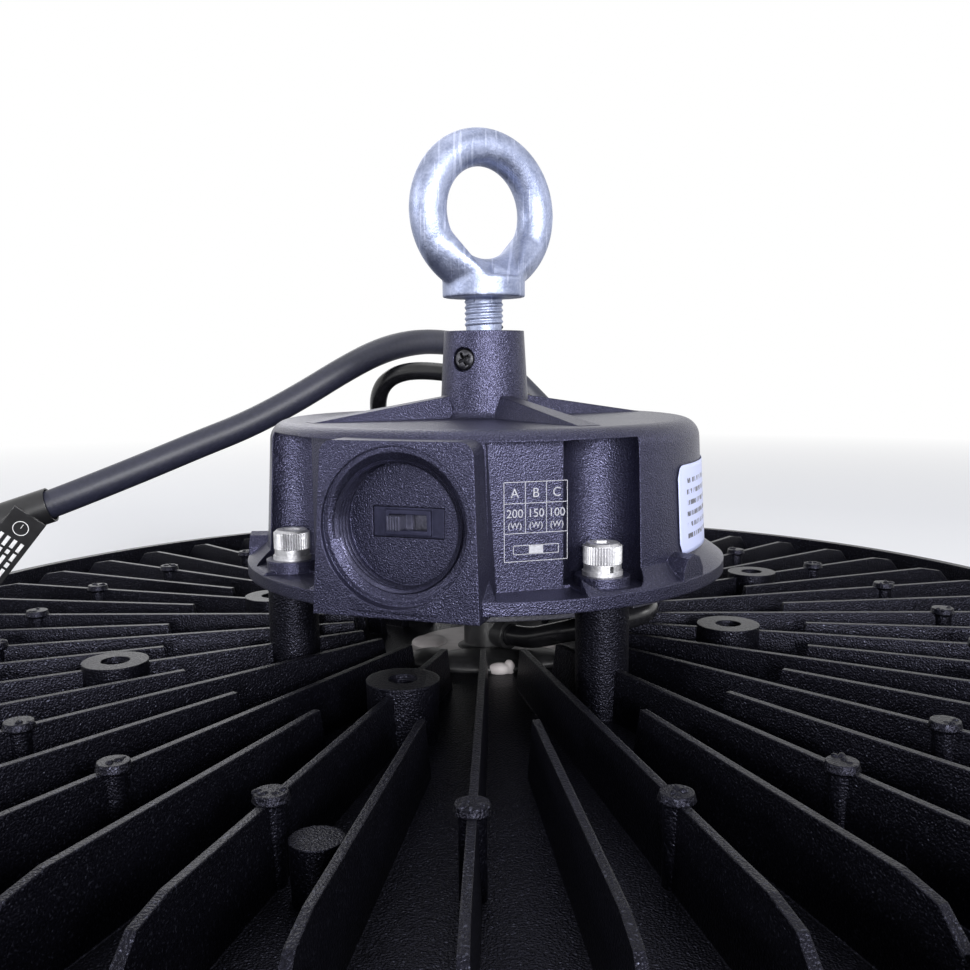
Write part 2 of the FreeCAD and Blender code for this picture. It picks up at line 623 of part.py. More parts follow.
def tabs(body):
    """Two arched tabs on the flange, one on each side of the block."""
    middle = value("block_azimuth")
    for name, turn in (("RightTab", value("tab_azimuth")),
                       ("LeftTab", 2 * middle - value("tab_azimuth"))):
        outline = cross_sketch(body, name + "Outline", turn, "tab_inner")
        polygon(outline, [
            ("0 - tab_half_width", "flange_z + 1"), ("tab_half_width", "flange_z + 1"),
            ("tab_half_width", "tab_shoulder_z"), ("tab_half_width - 2", "tab_top_z - 0.8"),
            ("0", "tab_top_z"), ("2 - tab_half_width", "tab_top_z - 0.8"),
            ("0 - tab_half_width", "tab_shoulder_z")])
        pad(body, name, outline, "tab_outer - tab_inner")


def tower_holes(body):
    """The eye's bore down the tower and the set screw's recessed hole in its side."""
    outline = flat_sketch(body, "EyeBoreOutline", "tower_top_z")
    circle(outline, "tower_bore_radius")
    pocket(body, "EyeBore", outline, "tower_top_z - tower_bore_z")
    turn = value("set_azimuth")
    for name, start, radius, depth in (
            ("SetRecess", "tower_foot_radius", "set_recess_radius",
             "tower_foot_radius - set_recess"),
            ("SetHole", "set_recess", "set_hole_radius", "set_recess - 1")):
        outline = cross_sketch(body, name + "Outline", turn, start, "set_z")
        circle(outline, radius)
        pocket(body, name, outline, depth)


# ---------------------------------------------------------------- fasteners and small turned pieces
def turned_set(label, turn, spot, corners):
    """Equal turned pieces on a circle: corners are pairs of (own radius, height)."""
    body = new_body(label)
    section = upright_sketch(body, label + "_section", turn)
    polygon(section, [(spot + " + " + radius, height) for radius, height in corners])
    own_axis(section, spot)
    turned = revolve(body, label + "_turned", section, "Axis0")
    ring_of(body, label + "_set", [turned], "post_count")
    return body


def housing_fasteners():
    """Socket head screws with split spring washers and flat washers."""
    first = POST_AZIMUTHS[1]
    turned_set("flat_washers", first, "post_circle", [
        ("washer_hole", "lug_top_z"), ("washer_radius", "lug_top_z"),
        ("washer_radius", "washer_top_z"), ("washer_hole", "washer_top_z")])
    body = turned_set("spring_washers", first, "post_circle", [
        ("spring_hole", "washer_top_z"), ("spring_radius", "washer_top_z"),
        ("spring_radius", "spring_top_z"), ("spring_hole", "spring_top_z")])
    gap = flat_sketch(body, "SplitOutline", "washer_top_z", first)
    rectangle(gap, "post_circle", "post_circle + spring_radius + 1",
              "0 - spring_gap", "0")
    split = pocket(body, "Split", gap, "spring_top_z - washer_top_z", upward=True)
    ring_of(body, "Splits", [split], "post_count")
    body = turned_set("housing_screws", first, "post_circle", [
        ("0", "shank_end_z"), ("shank_radius", "shank_end_z"),
        ("shank_radius", "spring_top_z"), ("cap_radius", "spring_top_z"),
        ("cap_radius", "cap_top_z - cap_edge"), ("cap_radius - cap_edge", "cap_top_z"),
        ("0", "cap_top_z")])
    socket = flat_sketch(body, "SocketOutline", "cap_top_z", first)
    hexagon(socket, "post_circle", "hex_across")
    drive = pocket(body, "Socket", socket, "cap_top_z - hex_floor_z")
    ring_of(body, "Sockets", [drive], "post_count")


def set_screw():
    """The pan head screw that locks the lifting eye in the tower."""
    body = new_body("tower_set_screw")
    section = upright_sketch(body, "SetScrewSection", value("set_azimuth"), "set_z")
    polygon(section, [
        ("tower_bore_radius", "0"), ("tower_bore_radius", "set_hole_radius - 0.1"),
        ("set_recess", "set_hole_radius - 0.1"), ("set_recess", "set_head_radius"),
        ("set_head_face - 0.5", "set_head_radius"),
        ("set_head_face", "set_head_radius - 0.8"), ("set_head_face", "0")])
    revolve(body, "SetScrewTurned", section, "H_Axis")


def lifting_eye():
    """A forged eye bolt: threaded shank, collar, a short neck and the ring."""
    body = new_body("lifting_eye")
    section = upright_sketch(body, "EyeSection")
    polygon(section, [
        ("0", "eye_shank_z"), ("eye_shank_radius - 0.8", "eye_shank_z"),
        ("eye_shank_radius", "eye_shank_z + 0.8"), ("eye_shank_radius", "collar_z"),
        ("collar_radius - 0.6", "collar_z"), ("collar_radius", "collar_z + 0.6"),
        ("collar_radius", "collar_top_z - 0.8"), ("collar_radius - 0.8", "collar_top_z"),
        ("neck_radius", "neck_top_z"), ("0", "neck_top_z")])
    revolve(body, "EyeShank", section)
    wire = cross_sketch(body, "RingSection", value("eye_azimuth"), "0", "eye_z")
    circle(wire, "eye_wire", "0", "eye_circle")
    revolve(body, "Ring", wire, "H_Axis")


# ---------------------------------------------------------------- bottom cover
def notched_disc(body, name, base, top, inner=None):
    """A disc with a notch round each post, and a round opening if inner is given."""
    outline = flat_sketch(body, name + "Outline", base)
    circle(outline, "cover_radius")
    if inner:
        circle(outline, inner)
    pad(body, name, outline, top + " - " + base)
    outline = round_at(body, name + "NotchOutline", base, POST_AZIMUTHS[1], "post_circle",
                       "cover_notch")
    notch = pocket(body, name + "Notch", outline, top + " - " + base, upward=True)
    ring_of(body, name + "Notches", [notch], "post_count")
    outline = round_at(body, name + "ScrewOutline", base, -82.5, "cover_screw_circle",
                       "cover_hole_radius")
    hole = pocket(body, name + "ScrewHole", outline, top + " - " + base, upward=True)
    ring_of(body, name + "ScrewHoles", [hole], "post_count")


def bottom_cover():
    """The cover under the housing, its gasket and screws; it carries the driver board."""
    body = new_body("bottom_cover")
    notched_disc(body, "Cover", "cover_z", "cover_top_z")
    outline = round_at(body, "SpacerOutline", "cover_top_z", -15.0, "spacer_circle",
                       "spacer_radius")
    spacer = pad(body, "Spacer", outline, "board_z - cover_top_z")
    ring_of(body, "Spacers", [spacer], "post_count")
    gasket = new_body("cover_gasket")
    notched_disc(gasket, "Gasket", "cover_top_z", "flange_z", "gasket_inner")
    turned_set("cover_screws", -82.5, "cover_screw_circle", [
        ("0", "cover_screw_z"), ("cover_screw_head - 0.7", "cover_screw_z"),
        ("cover_screw_head", "cover_screw_z + 0.7"), ("cover_screw_head", "cover_z"),
        ("cover_screw_radius", "cover_z"), ("cover_screw_radius", "cover_screw_top_z"),
        ("0", "cover_screw_top_z")])


# ---------------------------------------------------------------- power select switch
def across_port(body, name, distance, x0, x1, y0, y1):
    """A rectangle square to the port's axis, at a distance from the lamp's axis."""
    sketch = cross_sketch(body, name, value("block_azimuth"), distance, "port_z")
    rectangle(sketch, x0, x1, y0, y1)
    return sketch


def centred(name):
    """The two ends of a span that is centred on the axis."""
    return "0 - " + name, name


def select_switch():
    """A slide switch: moulded body, sprung contact plate, terminals and the slider."""
    body = new_body("switch_body")
    base = across_port(body, "SwitchBase", "switch_back", *centred("switch_half_width"),
                       *centred("switch_half_height"))
    pad(body, "SwitchBlock", base, "switch_face - switch_back")
    frame = across_port(body, "FrameOutline", "switch_face", *centred("bezel_half_width"),
                        *centred("bezel_half_height"))
    pad(body, "Frame", frame, "bezel_face - switch_face")
    slot = across_port(body, "SlotOutline", "bezel_face", *centred("slot_half_width"),
                       *centred("slot_half_height"))
    pocket(body, "Slot", slot, "bezel_face - chamber_front")
    room = across_port(body, "ChamberOutline", "chamber_front",
                       *centred("chamber_half_width"), *centred("chamber_half_height"))
    pocket(body, "Chamber", room, "chamber_front - chamber_back")
    plate = new_body("switch_contacts")
    outline = across_port(plate, "ContactOutline", "chamber_back",
                          *centred("contact_half_width"), *centred("contact_half_height"))
    pad(plate, "Contact", outline, "contact_front - chamber_back")
    pins = new_body("switch_terminals")
    for row, height in enumerate(("0 - switch_half_height + 1.2", "switch_half_height - 1.2")):
        for column in range(4):
            side = 4.2 * (column - 1.5)
            low = f"{side:.1f}" if side > 0 else f"0 - {-side:.1f}"
            outline = across_port(pins, f"Pin{row}{column}", "terminal_back",
                                  low + " - terminal_half", low + " + terminal_half",
                                  height + " - 0.2", height + " + 0.2")
            pad(pins, f"Terminal{row}{column}", outline, "switch_back - terminal_back")
    slider = new_body("switch_slider")
    carrier = across_port(slider, "CarrierOutline", "carrier_back",
                          "0 - knob_rest - carrier_half_width", "carrier_half_width - knob_rest",
                          *centred("carrier_half_height"))
    pad(slider, "Carrier", carrier, "carrier_front - carrier_back")
    knob = across_port(slider, "KnobOutline", "carrier_front",
                       "0 - knob_rest - knob_half_width", "knob_half_width - knob_rest",
                       *centred("knob_half_height"))
    pad(slider, "Knob", knob, "knob_face - carrier_front")
    for step in range(4):
        middle = f"{0.64 * (step + 1):.2f} - knob_rest - knob_half_width"
        groove = across_port(slider, f"Grip{step}", "knob_face", middle + " - 0.15",
                             middle + " + 0.15", *centred("knob_half_height"))
        pocket(slider, f"GripCut{step}", groove, "knob_groove")


# ---------------------------------------------------------------- driver inside
def driver():
    """The driver board and what stands on it."""
    body = new_body("driver_board")
    outline = flat_sketch(body, "BoardOutline", "board_z")
    circle(outline, "board_radius")
    pad(body, "Board", outline, "board_thickness")
    floor = "board_z + board_thickness"
    for name in BOARD_PARTS:
        block = doc.addObject("Part::Box", name)
        block.Label = name
        for side in ("length", "width", "height"):
            block.setExpression(side.capitalize(), f"Sizes.{name}_{side}")
        block.setExpression("Placement.Base.x", f"Sizes.{name}_x - Sizes.{name}_length / 2")
        block.setExpression("Placement.Base.y", f"Sizes.{name}_y - Sizes.{name}_width / 2")
        block.setExpression("Placement.Base.z", bound(floor))
    for name, cans in BOARD_CANS.items():
        body = new_body(name)
        for number in range(len(cans)):
            can = f"{name}_{number}"
            outline = flat_sketch(body, f"{name}_outline_{number}", floor)
            circle(outline, can + "_radius", can + "_x", can + "_y")
            pad(body, can + "_can", outline, can + "_height")


# ---------------------------------------------------------------- cable glands
def gland(name, side, hole):
    """A cable gland: threaded body with a hexagon, and the dome nut on it."""
    turn = value("cable_azimuth")
    outward = azimuth(turn, 1.0)
    sideways = azimuth(turn + 90, value(side))
    base = outward * value("cable_face") + sideways + Vector(0, 0, value("cable_z"))
    place = Placement(base, Rotation(Vector(0, 0, 1), outward))
    body = new_body(name + "_gland")
    thread = flat_sketch(body, name + "ThreadOutline", f"0 - {name}_thread")
    circle(thread, f"{hole} - 0.05")
    pad(body, name + "Thread", thread, f"{name}_thread")
    flats = flat_sketch(body, name + "HexOutline", "0")
    hexagon(flats, "0", f"{name}_hex")
    pad(body, name + "Hex", flats, f"{name}_hex_end")
    body.Placement = place
    nut = new_body(name + "_gland_nut")
    section = upright_sketch(nut, name + "NutSection")
    polygon(section, [
        ("0", f"{name}_hex_end"), (f"{name}_nut", f"{name}_hex_end"),
        (f"{name}_nut", f"{name}_nut_end - 3"), (f"{name}_nut - 0.8", f"{name}_nut_end - 1"),
        (f"{name}_nut_tip", f"{name}_end"), ("0", f"{name}_end")])
    revolve(nut, name + "NutTurned", section)
    nut.Placement = place


# ---------------------------------------------------------------- optics
def disc(label, base, top, radius, inner=None):
    body = new_body(label)
    outline = flat_sketch(body, label + "_outline", base)
    circle(outline, radius)
    if inner:
        circle(outline, inner)
    pad(body, label + "_disc", outline, top + " - " + base)
    return body


def optics():
    """LED board, LEDs, lens plate with a dome for each LED, seal, bezel and its screws."""
    disc("led_board", "led_board_z", "roof_z", "led_board_radius")
    leds = new_body("leds")
    lens = disc("lens_plate", "lens_z", "lens_top_z", "lens_radius")
    for number, (circle_radius, count) in enumerate(LED_RINGS):
        spot = f"led_ring_{number}"
        outline = flat_sketch(leds, f"LedOutline{number}", "led_z")
        rectangle(outline, spot + " - led_half_width", spot + " + led_half_width",
                  *centred("led_half_width"))
        chip = pad(leds, f"Led{number}", outline, "led_board_z - led_z")
        ring_of(leds, f"LedRing{number}", [chip], count)
        section = upright_sketch(lens, f"DomeSection{number}")
        polygon(section, [
            (spot, "dome_z"), (spot + " + dome_tip_radius", "dome_z"),
            (spot + " + dome_radius", "lens_z"), (spot + " + dome_radius", "lens_z + 0.5"),
            (spot, "lens_z + 0.5")])
        own_axis(section, spot)
        dome = revolve(lens, f"Dome{number}", section, "Axis0")
        ring_of(lens, f"DomeRing{number}", [dome], count)
    disc("lens_seal", "lens_top_z", "seat_z", "lens_seal_outer", "lens_seal_inner")
    bezel = new_body("bezel_ring")
    section = upright_sketch(bezel, "BezelSection")
    polygon(section, [
        ("bezel_inner + 1.5", "0"), ("bezel_outer - 2", "0"), ("bezel_outer", "2"),
        ("bezel_outer", "lens_z"), ("bezel_inner", "lens_z"), ("bezel_inner", "1.5")])
    revolve(bezel, "Bezel", section)
    for name, radius, top in (("Recess", "bezel_screw_head + 0.4", "bezel_recess_z"),
                              ("Hole", "bezel_screw_radius + 0.1", "lens_z")):
        outline = round_at(bezel, f"Bezel{name}Outline", "0", 0.0, "bezel_screw_circle",
                           radius)
        cut = pocket(bezel, "Bezel" + name, outline, top, upward=True)
        ring_of(bezel, f"Bezel{name}s", [cut], "bezel_count")
    body = new_body("bezel_screws")
    section = upright_sketch(body, "BezelScrewSection")
    polygon(section, [(("bezel_screw_circle + " + radius), height) for radius, height in (
        ("0", "0.4"), ("bezel_screw_head - 0.6", "0.4"), ("bezel_screw_head", "1.0"),
        ("bezel_screw_head", "bezel_recess_z"), ("bezel_screw_radius", "bezel_recess_z"),
        ("bezel_screw_radius", "bezel_screw_top_z"), ("0", "bezel_screw_top_z"))])
    own_axis(section, "bezel_screw_circle")
    turned = revolve(body, "BezelScrew", section, "Axis0")
    ring_of(body, "BezelScrews", [turned], "bezel_count")


def centre_seal():
    """A pool of sealant in the middle, and the rubber elbow that the output lead ends in."""
    body = new_body("centre_seal")
    section = upright_sketch(body, "SealSection")
    polygon(section, [
        ("0", "seal_disc_z"), ("seal_disc_radius", "seal_disc_z"),
        ("seal_disc_radius - 1", "seal_disc_top_z"), ("0", "seal_disc_top_z")])
    revolve(body, "Seal", section)
    entry = new_body("lead_entry")
    section = upright_sketch(entry, "EntrySection")
    polygon(section, [
        ("0", "seal_disc_top_z"), ("entry_foot_radius", "seal_disc_top_z"),
        ("entry_radius", "seal_disc_top_z + 1"), ("entry_radius", "entry_top_z - 1.5"),
        ("entry_radius - 1.5", "entry_top_z"), ("0", "entry_top_z")])
    revolve(entry, "EntryBody", section)
    turn = value("entry_azimuth")
    sleeve = cross_sketch(entry, "SleeveOutline", turn, "entry_depth", "entry_port_z")
    circle(sleeve, "output_radius + 1.2")
    pad(entry, "Sleeve", sleeve, "entry_sleeve - entry_depth")
    hole = cross_sketch(entry, "SleeveHoleOutline", turn, "entry_sleeve", "entry_port_z")
    circle(hole, "output_radius + 0.1")
    pocket(entry, "SleeveHole", hole, "entry_sleeve - entry_depth")


# ---------------------------------------------------------------- cords
MAINS_ROUTE = [
    (38.2, 88.6, 68.0), (35.0, 105.0, 72.5), (24.5, 116.5, 81.5), (12.5, 119.5, 94.0),
    (1.5, 112.0, 104.7), (-8.0, 98.5, 109.6), (-19.0, 84.0, 111.0), (-27.5, 71.5, 110.2),
    (-36.5, 62.8, 107.3), (-46.5, 56.2, 101.8), (-60.5, 49.0, 92.8), (-75.0, 42.6, 84.8),
    (-90.0, 36.3, 78.8), (-104.5, 31.0, 72.7), (-119.0, 26.6, 66.9), (-133.5, 23.3, 61.3),
    (-148.5, 21.0, 56.4), (-165.0, 18.3, 51.8), (-183.5, 15.0, 46.2), (-202.5, 11.0, 37.5),
    (-221.0, 7.0, 26.0), (-239.0, 4.0, 14.5), (-258.0, 3.0, 6.2), (-279.0, 4.5, 4.4),
    (-301.0, 9.0, 4.5), (-323.0, 16.5, 4.4), (-343.0, 27.0, 4.4)]
OUTPUT_ROUTE = [
    (9.4, 89.1, 68.0), (2.6, 103.6, 70.0), (-11.9, 109.0, 73.0), (-26.0, 103.2, 76.5),
    (-35.0, 91.5, 79.5), (-38.0, 79.5, 83.0), (-38.0, 70.0, 90.3), (-35.3, 65.8, 97.0),
    (-28.6, 62.8, 100.7), (-18.5, 59.5, 101.0), (-7.0, 57.5, 99.2), (5.0, 57.5, 94.4),
    (16.0, 59.5, 88.8), (27.5, 60.5, 85.3), (39.0, 59.0, 83.0), (47.0, 55.5, 76.5),
    (50.5, 52.0, 67.0), (50.5, 51.0, 56.5), (46.5, 49.5, 46.5), (40.5, 43.5, 40.3),
    (36.0, 33.5, 38.3), (36.5, 21.0, 38.0), (40.0, 8.5, 37.9), (43.5, -3.0, 37.9),
    (44.0, -11.5, 37.9), (39.6, -18.9, 37.8), (31.9, -22.7, 37.4), (23.4, -21.6, 35.0),
    (17.0, -15.6, 32.0), (12.6, -11.5, 30.0), (7.8, -7.03, 29.4)]
LABEL_RUN = 15                                   # the run of the mains lead that it is on
LABEL_HANG = (-0.64, 0.0, -0.77)                 # the way that the label's tail hangs
CORE_SPREAD = ((0.0, 2.4), (-2.0, -1.3), (2.0, -1.3))    # each core, sideways and up


def gland_mouth(side, end):
    """Where a lead leaves its gland."""
    turn = value("cable_azimuth")
    return tuple(azimuth(turn, value("cable_face + " + end), value("cable_z"))
                 + azimuth(turn + 90, value(side)))


def cords():
    cord("mains_lead", [gland_mouth("0 - cable_offset", "mains_end")] + MAINS_ROUTE,
         value("mains_radius"))
    entry = azimuth(value("entry_azimuth"), value("entry_depth"), value("entry_port_z"))
    cord("output_lead", [gland_mouth("cable_offset", "output_end")] + OUTPUT_ROUTE
         + [tuple(entry)], value("output_radius"))
    last, before = Vector(*MAINS_ROUTE[-1]), Vector(*MAINS_ROUTE[-2])
    along = (last - before).normalize()
    across = along.cross(Vector(0, 0, 1)).normalize()
    cores = []
    for sideways, lift in CORE_SPREAD:
        start = last + across * sideways + Vector(0, 0, lift)
        cores.append(Part.makeCylinder(value("core_radius"), value("core_length"), start,
                                       along))
    shaped("mains_cores", Part.makeCompound(cores))


def cord_label():
    """A printed strip wrapped round the mains lead, its tail hanging free."""
    first, last = Vector(*MAINS_ROUTE[LABEL_RUN]), Vector(*MAINS_ROUTE[LABEL_RUN + 1])
    along = (last - first).normalize()
    middle = (first + last) * 0.5
    start = middle - along * (value("label_band") / 2)
    band = Part.makeCylinder(value("label_radius"), value("label_band"), start, along)
    bore = value("mains_radius") + value("label_gap")
    band = band.cut(Part.makeCylinder(bore, value("label_band"), start, along))
    down = Vector(*LABEL_HANG).normalize()
    front = along.cross(down).normalize()
    sideways = front.cross(down)
    root = (start + along * (value("label_band") / 4)
            + front * (value("label_radius") - value("label_thickness")))
    tail = Part.makeBox(value("label_width"), value("label_thickness"), value("label_tail"))
    tail.Placement = Placement(root - sideways * (value("label_width") / 2),
                               Rotation(sideways, front, down, "ZXY"))
    shaped("cord_label", band.fuse(tail))


def build():
    driver_housing()
    housing_fasteners()
    set_screw()
    lifting_eye()
    bottom_cover()
    select_switch()
    driver()
    gland("mains", "0 - cable_offset", "mains_hole_radius")
    gland("output", "cable_offset", "output_hole_radius")
    optics()
    centre_seal()
    cords()
    cord_label()
    heat_sink()
    doc.recompute()


def sub_parts():
    """The objects that are pieces of the lamp: bodies, boxes and shaped features."""
    kinds = ("PartDesign::Body", "Part::Box", "Part::Feature")
    return [piece for piece in doc.Objects if piece.TypeId in kinds]


build()
faults = [piece.Name for piece in doc.Objects
          if "Invalid" in piece.State or "Error" in piece.State]
faults += [piece.Label for piece in sub_parts()
           if piece.Shape.isNull() or not piece.Shape.isValid()]
if faults:
    raise SystemExit("not built: " + ", ".join(faults))
os.makedirs("parts", exist_ok=True)
for piece in sub_parts():
    print(piece.Label, len(piece.Shape.Solids), round(piece.Shape.Volume))
    piece.Shape.exportStep(f"parts/{piece.Label}.step")
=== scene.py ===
import math
import random
import bmesh
import bpy
from mathutils import Matrix, Vector


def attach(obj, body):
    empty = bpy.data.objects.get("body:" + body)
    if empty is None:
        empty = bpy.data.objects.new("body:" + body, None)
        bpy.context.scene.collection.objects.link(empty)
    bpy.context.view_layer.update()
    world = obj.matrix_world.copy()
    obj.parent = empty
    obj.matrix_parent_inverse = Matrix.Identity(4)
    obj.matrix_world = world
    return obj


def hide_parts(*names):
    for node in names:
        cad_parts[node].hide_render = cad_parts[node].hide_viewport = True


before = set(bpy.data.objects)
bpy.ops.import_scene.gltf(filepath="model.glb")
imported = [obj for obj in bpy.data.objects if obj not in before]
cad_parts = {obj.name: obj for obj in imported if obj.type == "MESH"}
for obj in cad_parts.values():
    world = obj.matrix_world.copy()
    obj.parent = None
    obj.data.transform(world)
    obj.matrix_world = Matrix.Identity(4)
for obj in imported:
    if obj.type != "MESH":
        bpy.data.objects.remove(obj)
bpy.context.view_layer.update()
mm = 0.001
weldGap = 1e-6
scene = bpy.context.scene
print("frame loaded")


# camera: its place is in millimetres, its angles in degrees
cameraSettings = {
    "place": (5.24, -280.64, 104.25),
    "pitchDown": 7.158, "heading": 1.079, "roll": -0.42,
    "lens": 38.08, "sensor": 36.0, "shiftUp": 4 / 970, "near": 0.01, "far": 50.0,
}


def addCamera(made):
    data = bpy.data.cameras.new("camera")
    data.lens = made["lens"]
    data.sensor_width = made["sensor"]
    data.clip_start = made["near"]
    data.clip_end = made["far"]
    data.shift_y = made["shiftUp"]
    camera = bpy.data.objects.new("camera", data)
    scene.collection.objects.link(camera)
    turn = (Matrix.Rotation(math.radians(made["heading"]), 4, "Z")
            @ Matrix.Rotation(math.radians(90 - made["pitchDown"]), 4, "X")
            @ Matrix.Rotation(math.radians(made["roll"]), 4, "Z"))
    camera.matrix_world = Matrix.Translation(Vector(made["place"]) * mm) @ turn
    scene.camera = camera


addCamera(cameraSettings)


# small helpers
def onAzimuth(angle, radius, height):
    turn = math.radians(angle)
    return Vector((radius * math.cos(turn), radius * math.sin(turn), height)) * mm


def outwardAt(angle):
    return onAzimuth(angle, 1 / mm, 0.0)


def newObject(name, mesh, material):
    made = bpy.data.objects.new(name, mesh)
    scene.collection.objects.link(made)
    mesh.materials.append(material)
    return made


def meshObject(name, bm, material, smooth=True):
    bmesh.ops.remove_doubles(bm, verts=bm.verts, dist=weldGap)
    bmesh.ops.recalc_face_normals(bm, faces=bm.faces)
    mesh = bpy.data.meshes.new(name)
    bm.to_mesh(mesh)
    bm.free()
    for face in mesh.polygons:
        face.use_smooth = smooth
    return newObject(name, mesh, material)


def axesAt(origin, axes):
    place = Matrix(axes).transposed().to_4x4()
    place.translation = origin
    return place


def basisAt(origin, outward):
    sideways = Vector((0, 0, 1)).cross(outward).normalized()
    lifted = outward.cross(sideways).normalized()
    return axesAt(origin, (sideways, lifted, outward.normalized()))


# shader groups
def newGroup(name, inputs, outputs):
    group = bpy.data.node_groups.new(name, "ShaderNodeTree")
    for label, kind, value in inputs:
        socket = group.interface.new_socket(name=label, in_out="INPUT", socket_type=kind)
        socket.default_value = value
    for label, kind in outputs:
        group.interface.new_socket(name=label, in_out="OUTPUT", socket_type=kind)
    entry = group.nodes.new("NodeGroupInput")
    leave = group.nodes.new("NodeGroupOutput")
    return group, entry, leave


def link(tree, start, end):
    tree.links.new(start, end)


def mathNode(tree, operation, first, second=None):
    node = tree.nodes.new("ShaderNodeMath")
    node.operation = operation
    for place, given in enumerate((first, second)):
        if given is None:
            continue
        if isinstance(given, (int, float)):
            node.inputs[place].default_value = given
        else:
            link(tree, given, node.inputs[place])
    return node.outputs[0]


def noiseNode(tree, vector, scale, detail=2.0, roughness=0.5):
    node = tree.nodes.new("ShaderNodeTexNoise")
    node.inputs["Detail"].default_value = detail
    node.inputs["Roughness"].default_value = roughness
    link(tree, vector, node.inputs["Vector"])
    if isinstance(scale, (int, float)):
        node.inputs["Scale"].default_value = scale
    else:
        link(tree, scale, node.inputs["Scale"])
    return node.outputs["Fac"]


def rangeNode(tree, given, low, high, newLow=0.0, newHigh=1.0):
    node = tree.nodes.new("ShaderNodeMapRange")
    link(tree, given, node.inputs["Value"])
    for label, number in (("From Min", low), ("From Max", high),
                          ("To Min", newLow), ("To Max", newHigh)):
        node.inputs[label].default_value = number
    return node.outputs["Result"]


def betweenNode(tree, given, low, high):
    return mathNode(tree, "MULTIPLY", mathNode(tree, "GREATER_THAN", given, low),
                    mathNode(tree, "LESS_THAN", given, high))


# a mix node's colour sockets share their names with its other kinds, so they go by number
mixSockets = {"factor": 0, "first": 6, "second": 7, "result": 2}


def mixColour(tree, factor, first, second):
    node = tree.nodes.new("ShaderNodeMix")
    node.data_type = "RGBA"
    link(tree, factor, node.inputs[mixSockets["factor"]])
    for label, given in (("first", first), ("second", second)):
        socket = node.inputs[mixSockets[label]]
        if isinstance(given, tuple):
            socket.default_value = (*given, 1.0)
        else:
            link(tree, given, socket)
    return node.outputs[mixSockets["result"]]


grainSettings = {
    "grainDetail": 1.0, "grainRoughness": 0.4, "pits": (0.35, 0.65), "pitShare": 0.6,
    # the spots below are painted glints: bluish-white colour standing in for the coat's
    # sparkle highlights
    "speckScale": 0.9, "paintedGlints": (0.68, 0.76), "paintedGlintColour": (0.42, 0.44, 0.62),
    "cloudScale": 45.0, "cloudDetail": 3.0, "cloudRoughness": 0.6, "cloudShare": 0.5,
    "edgeRadius": 0.0005, "edgeSamples": 4, "bumpDistance": 0.00022,
}


def buildCoatGrain(made):
    group, entry, leave = newGroup(
        "coatGrain",
        [("Scale", "NodeSocketFloat", 1400.0), ("Depth", "NodeSocketFloat", 0.3),
         ("Dark", "NodeSocketColor", (0.02, 0.02, 0.03, 1)),
         ("Light", "NodeSocketColor", (0.05, 0.05, 0.07, 1)),
         ("Rough Low", "NodeSocketFloat", 0.3), ("Rough High", "NodeSocketFloat", 0.5),
         ("Painted Glints", "NodeSocketFloat", 0.0)],
        [("Color", "NodeSocketColor"), ("Roughness", "NodeSocketFloat"),
         ("Normal", "NodeSocketVector")])
    given, place = entry.outputs, group.nodes.new("ShaderNodeTexCoord").outputs["Object"]
    grain = noiseNode(group, place, given["Scale"], made["grainDetail"],
                      made["grainRoughness"])
    # painted glints: sparse bright spots mixed into the colour stand in for sparkle
    # highlights
    tiny = mathNode(group, "MULTIPLY", given["Scale"], made["speckScale"])
    paintedGlints = rangeNode(group, noiseNode(group, place, tiny, 0.0), *made["paintedGlints"])
    paintedGlints = mathNode(group, "MULTIPLY", paintedGlints, given["Painted Glints"])
    cloud = noiseNode(group, place, made["cloudScale"], made["cloudDetail"],
                      made["cloudRoughness"])
    tone = mathNode(group, "MULTIPLY", rangeNode(group, grain, *made["pits"]),
                    made["pitShare"])
    tone = mathNode(group, "ADD", tone,
                    mathNode(group, "MULTIPLY", cloud, made["cloudShare"]))
    colour = mixColour(group, tone, given["Dark"], given["Light"])
    colour = mixColour(group, paintedGlints, colour, made["paintedGlintColour"])
    link(group, colour, leave.inputs["Color"])
    spread = mathNode(group, "SUBTRACT", given["Rough High"], given["Rough Low"])
    rough = mathNode(group, "MULTIPLY", spread, cloud)
    rough = mathNode(group, "ADD", rough, given["Rough Low"])
    link(group, rough, leave.inputs["Roughness"])
    edge = group.nodes.new("ShaderNodeBevel")
    edge.samples = made["edgeSamples"]
    edge.inputs["Radius"].default_value = made["edgeRadius"]
    bump = group.nodes.new("ShaderNodeBump")
    bump.inputs["Distance"].default_value = made["bumpDistance"]
    link(group, edge.outputs["Normal"], bump.inputs["Normal"])
    link(group, given["Depth"], bump.inputs["Strength"])
    link(group, grain, bump.inputs["Height"])
    link(group, bump.outputs["Normal"], leave.inputs["Normal"])
    return group


scratchSettings = {
    "lines": ((0.5, 900.0), (-0.9, 1300.0)),   # turn in radians, and how fine
    "tilt": 0.7, "stretch": (40.0, 60.0), "edges": (0.66, 0.7),
    "cloudScale": 160.0, "cloudDetail": 5.0, "cloudRoughness": 0.65, "cloudShare": 0.8,
    "speckScale": 1500.0, "speckShare": 0.35, "tones": (0.35, 0.85),
    "clouds": (0.3, 0.7), "rough": (0.4, 0.6), "bumpStrength": 0.25, "bumpDistance": 0.0003,
}


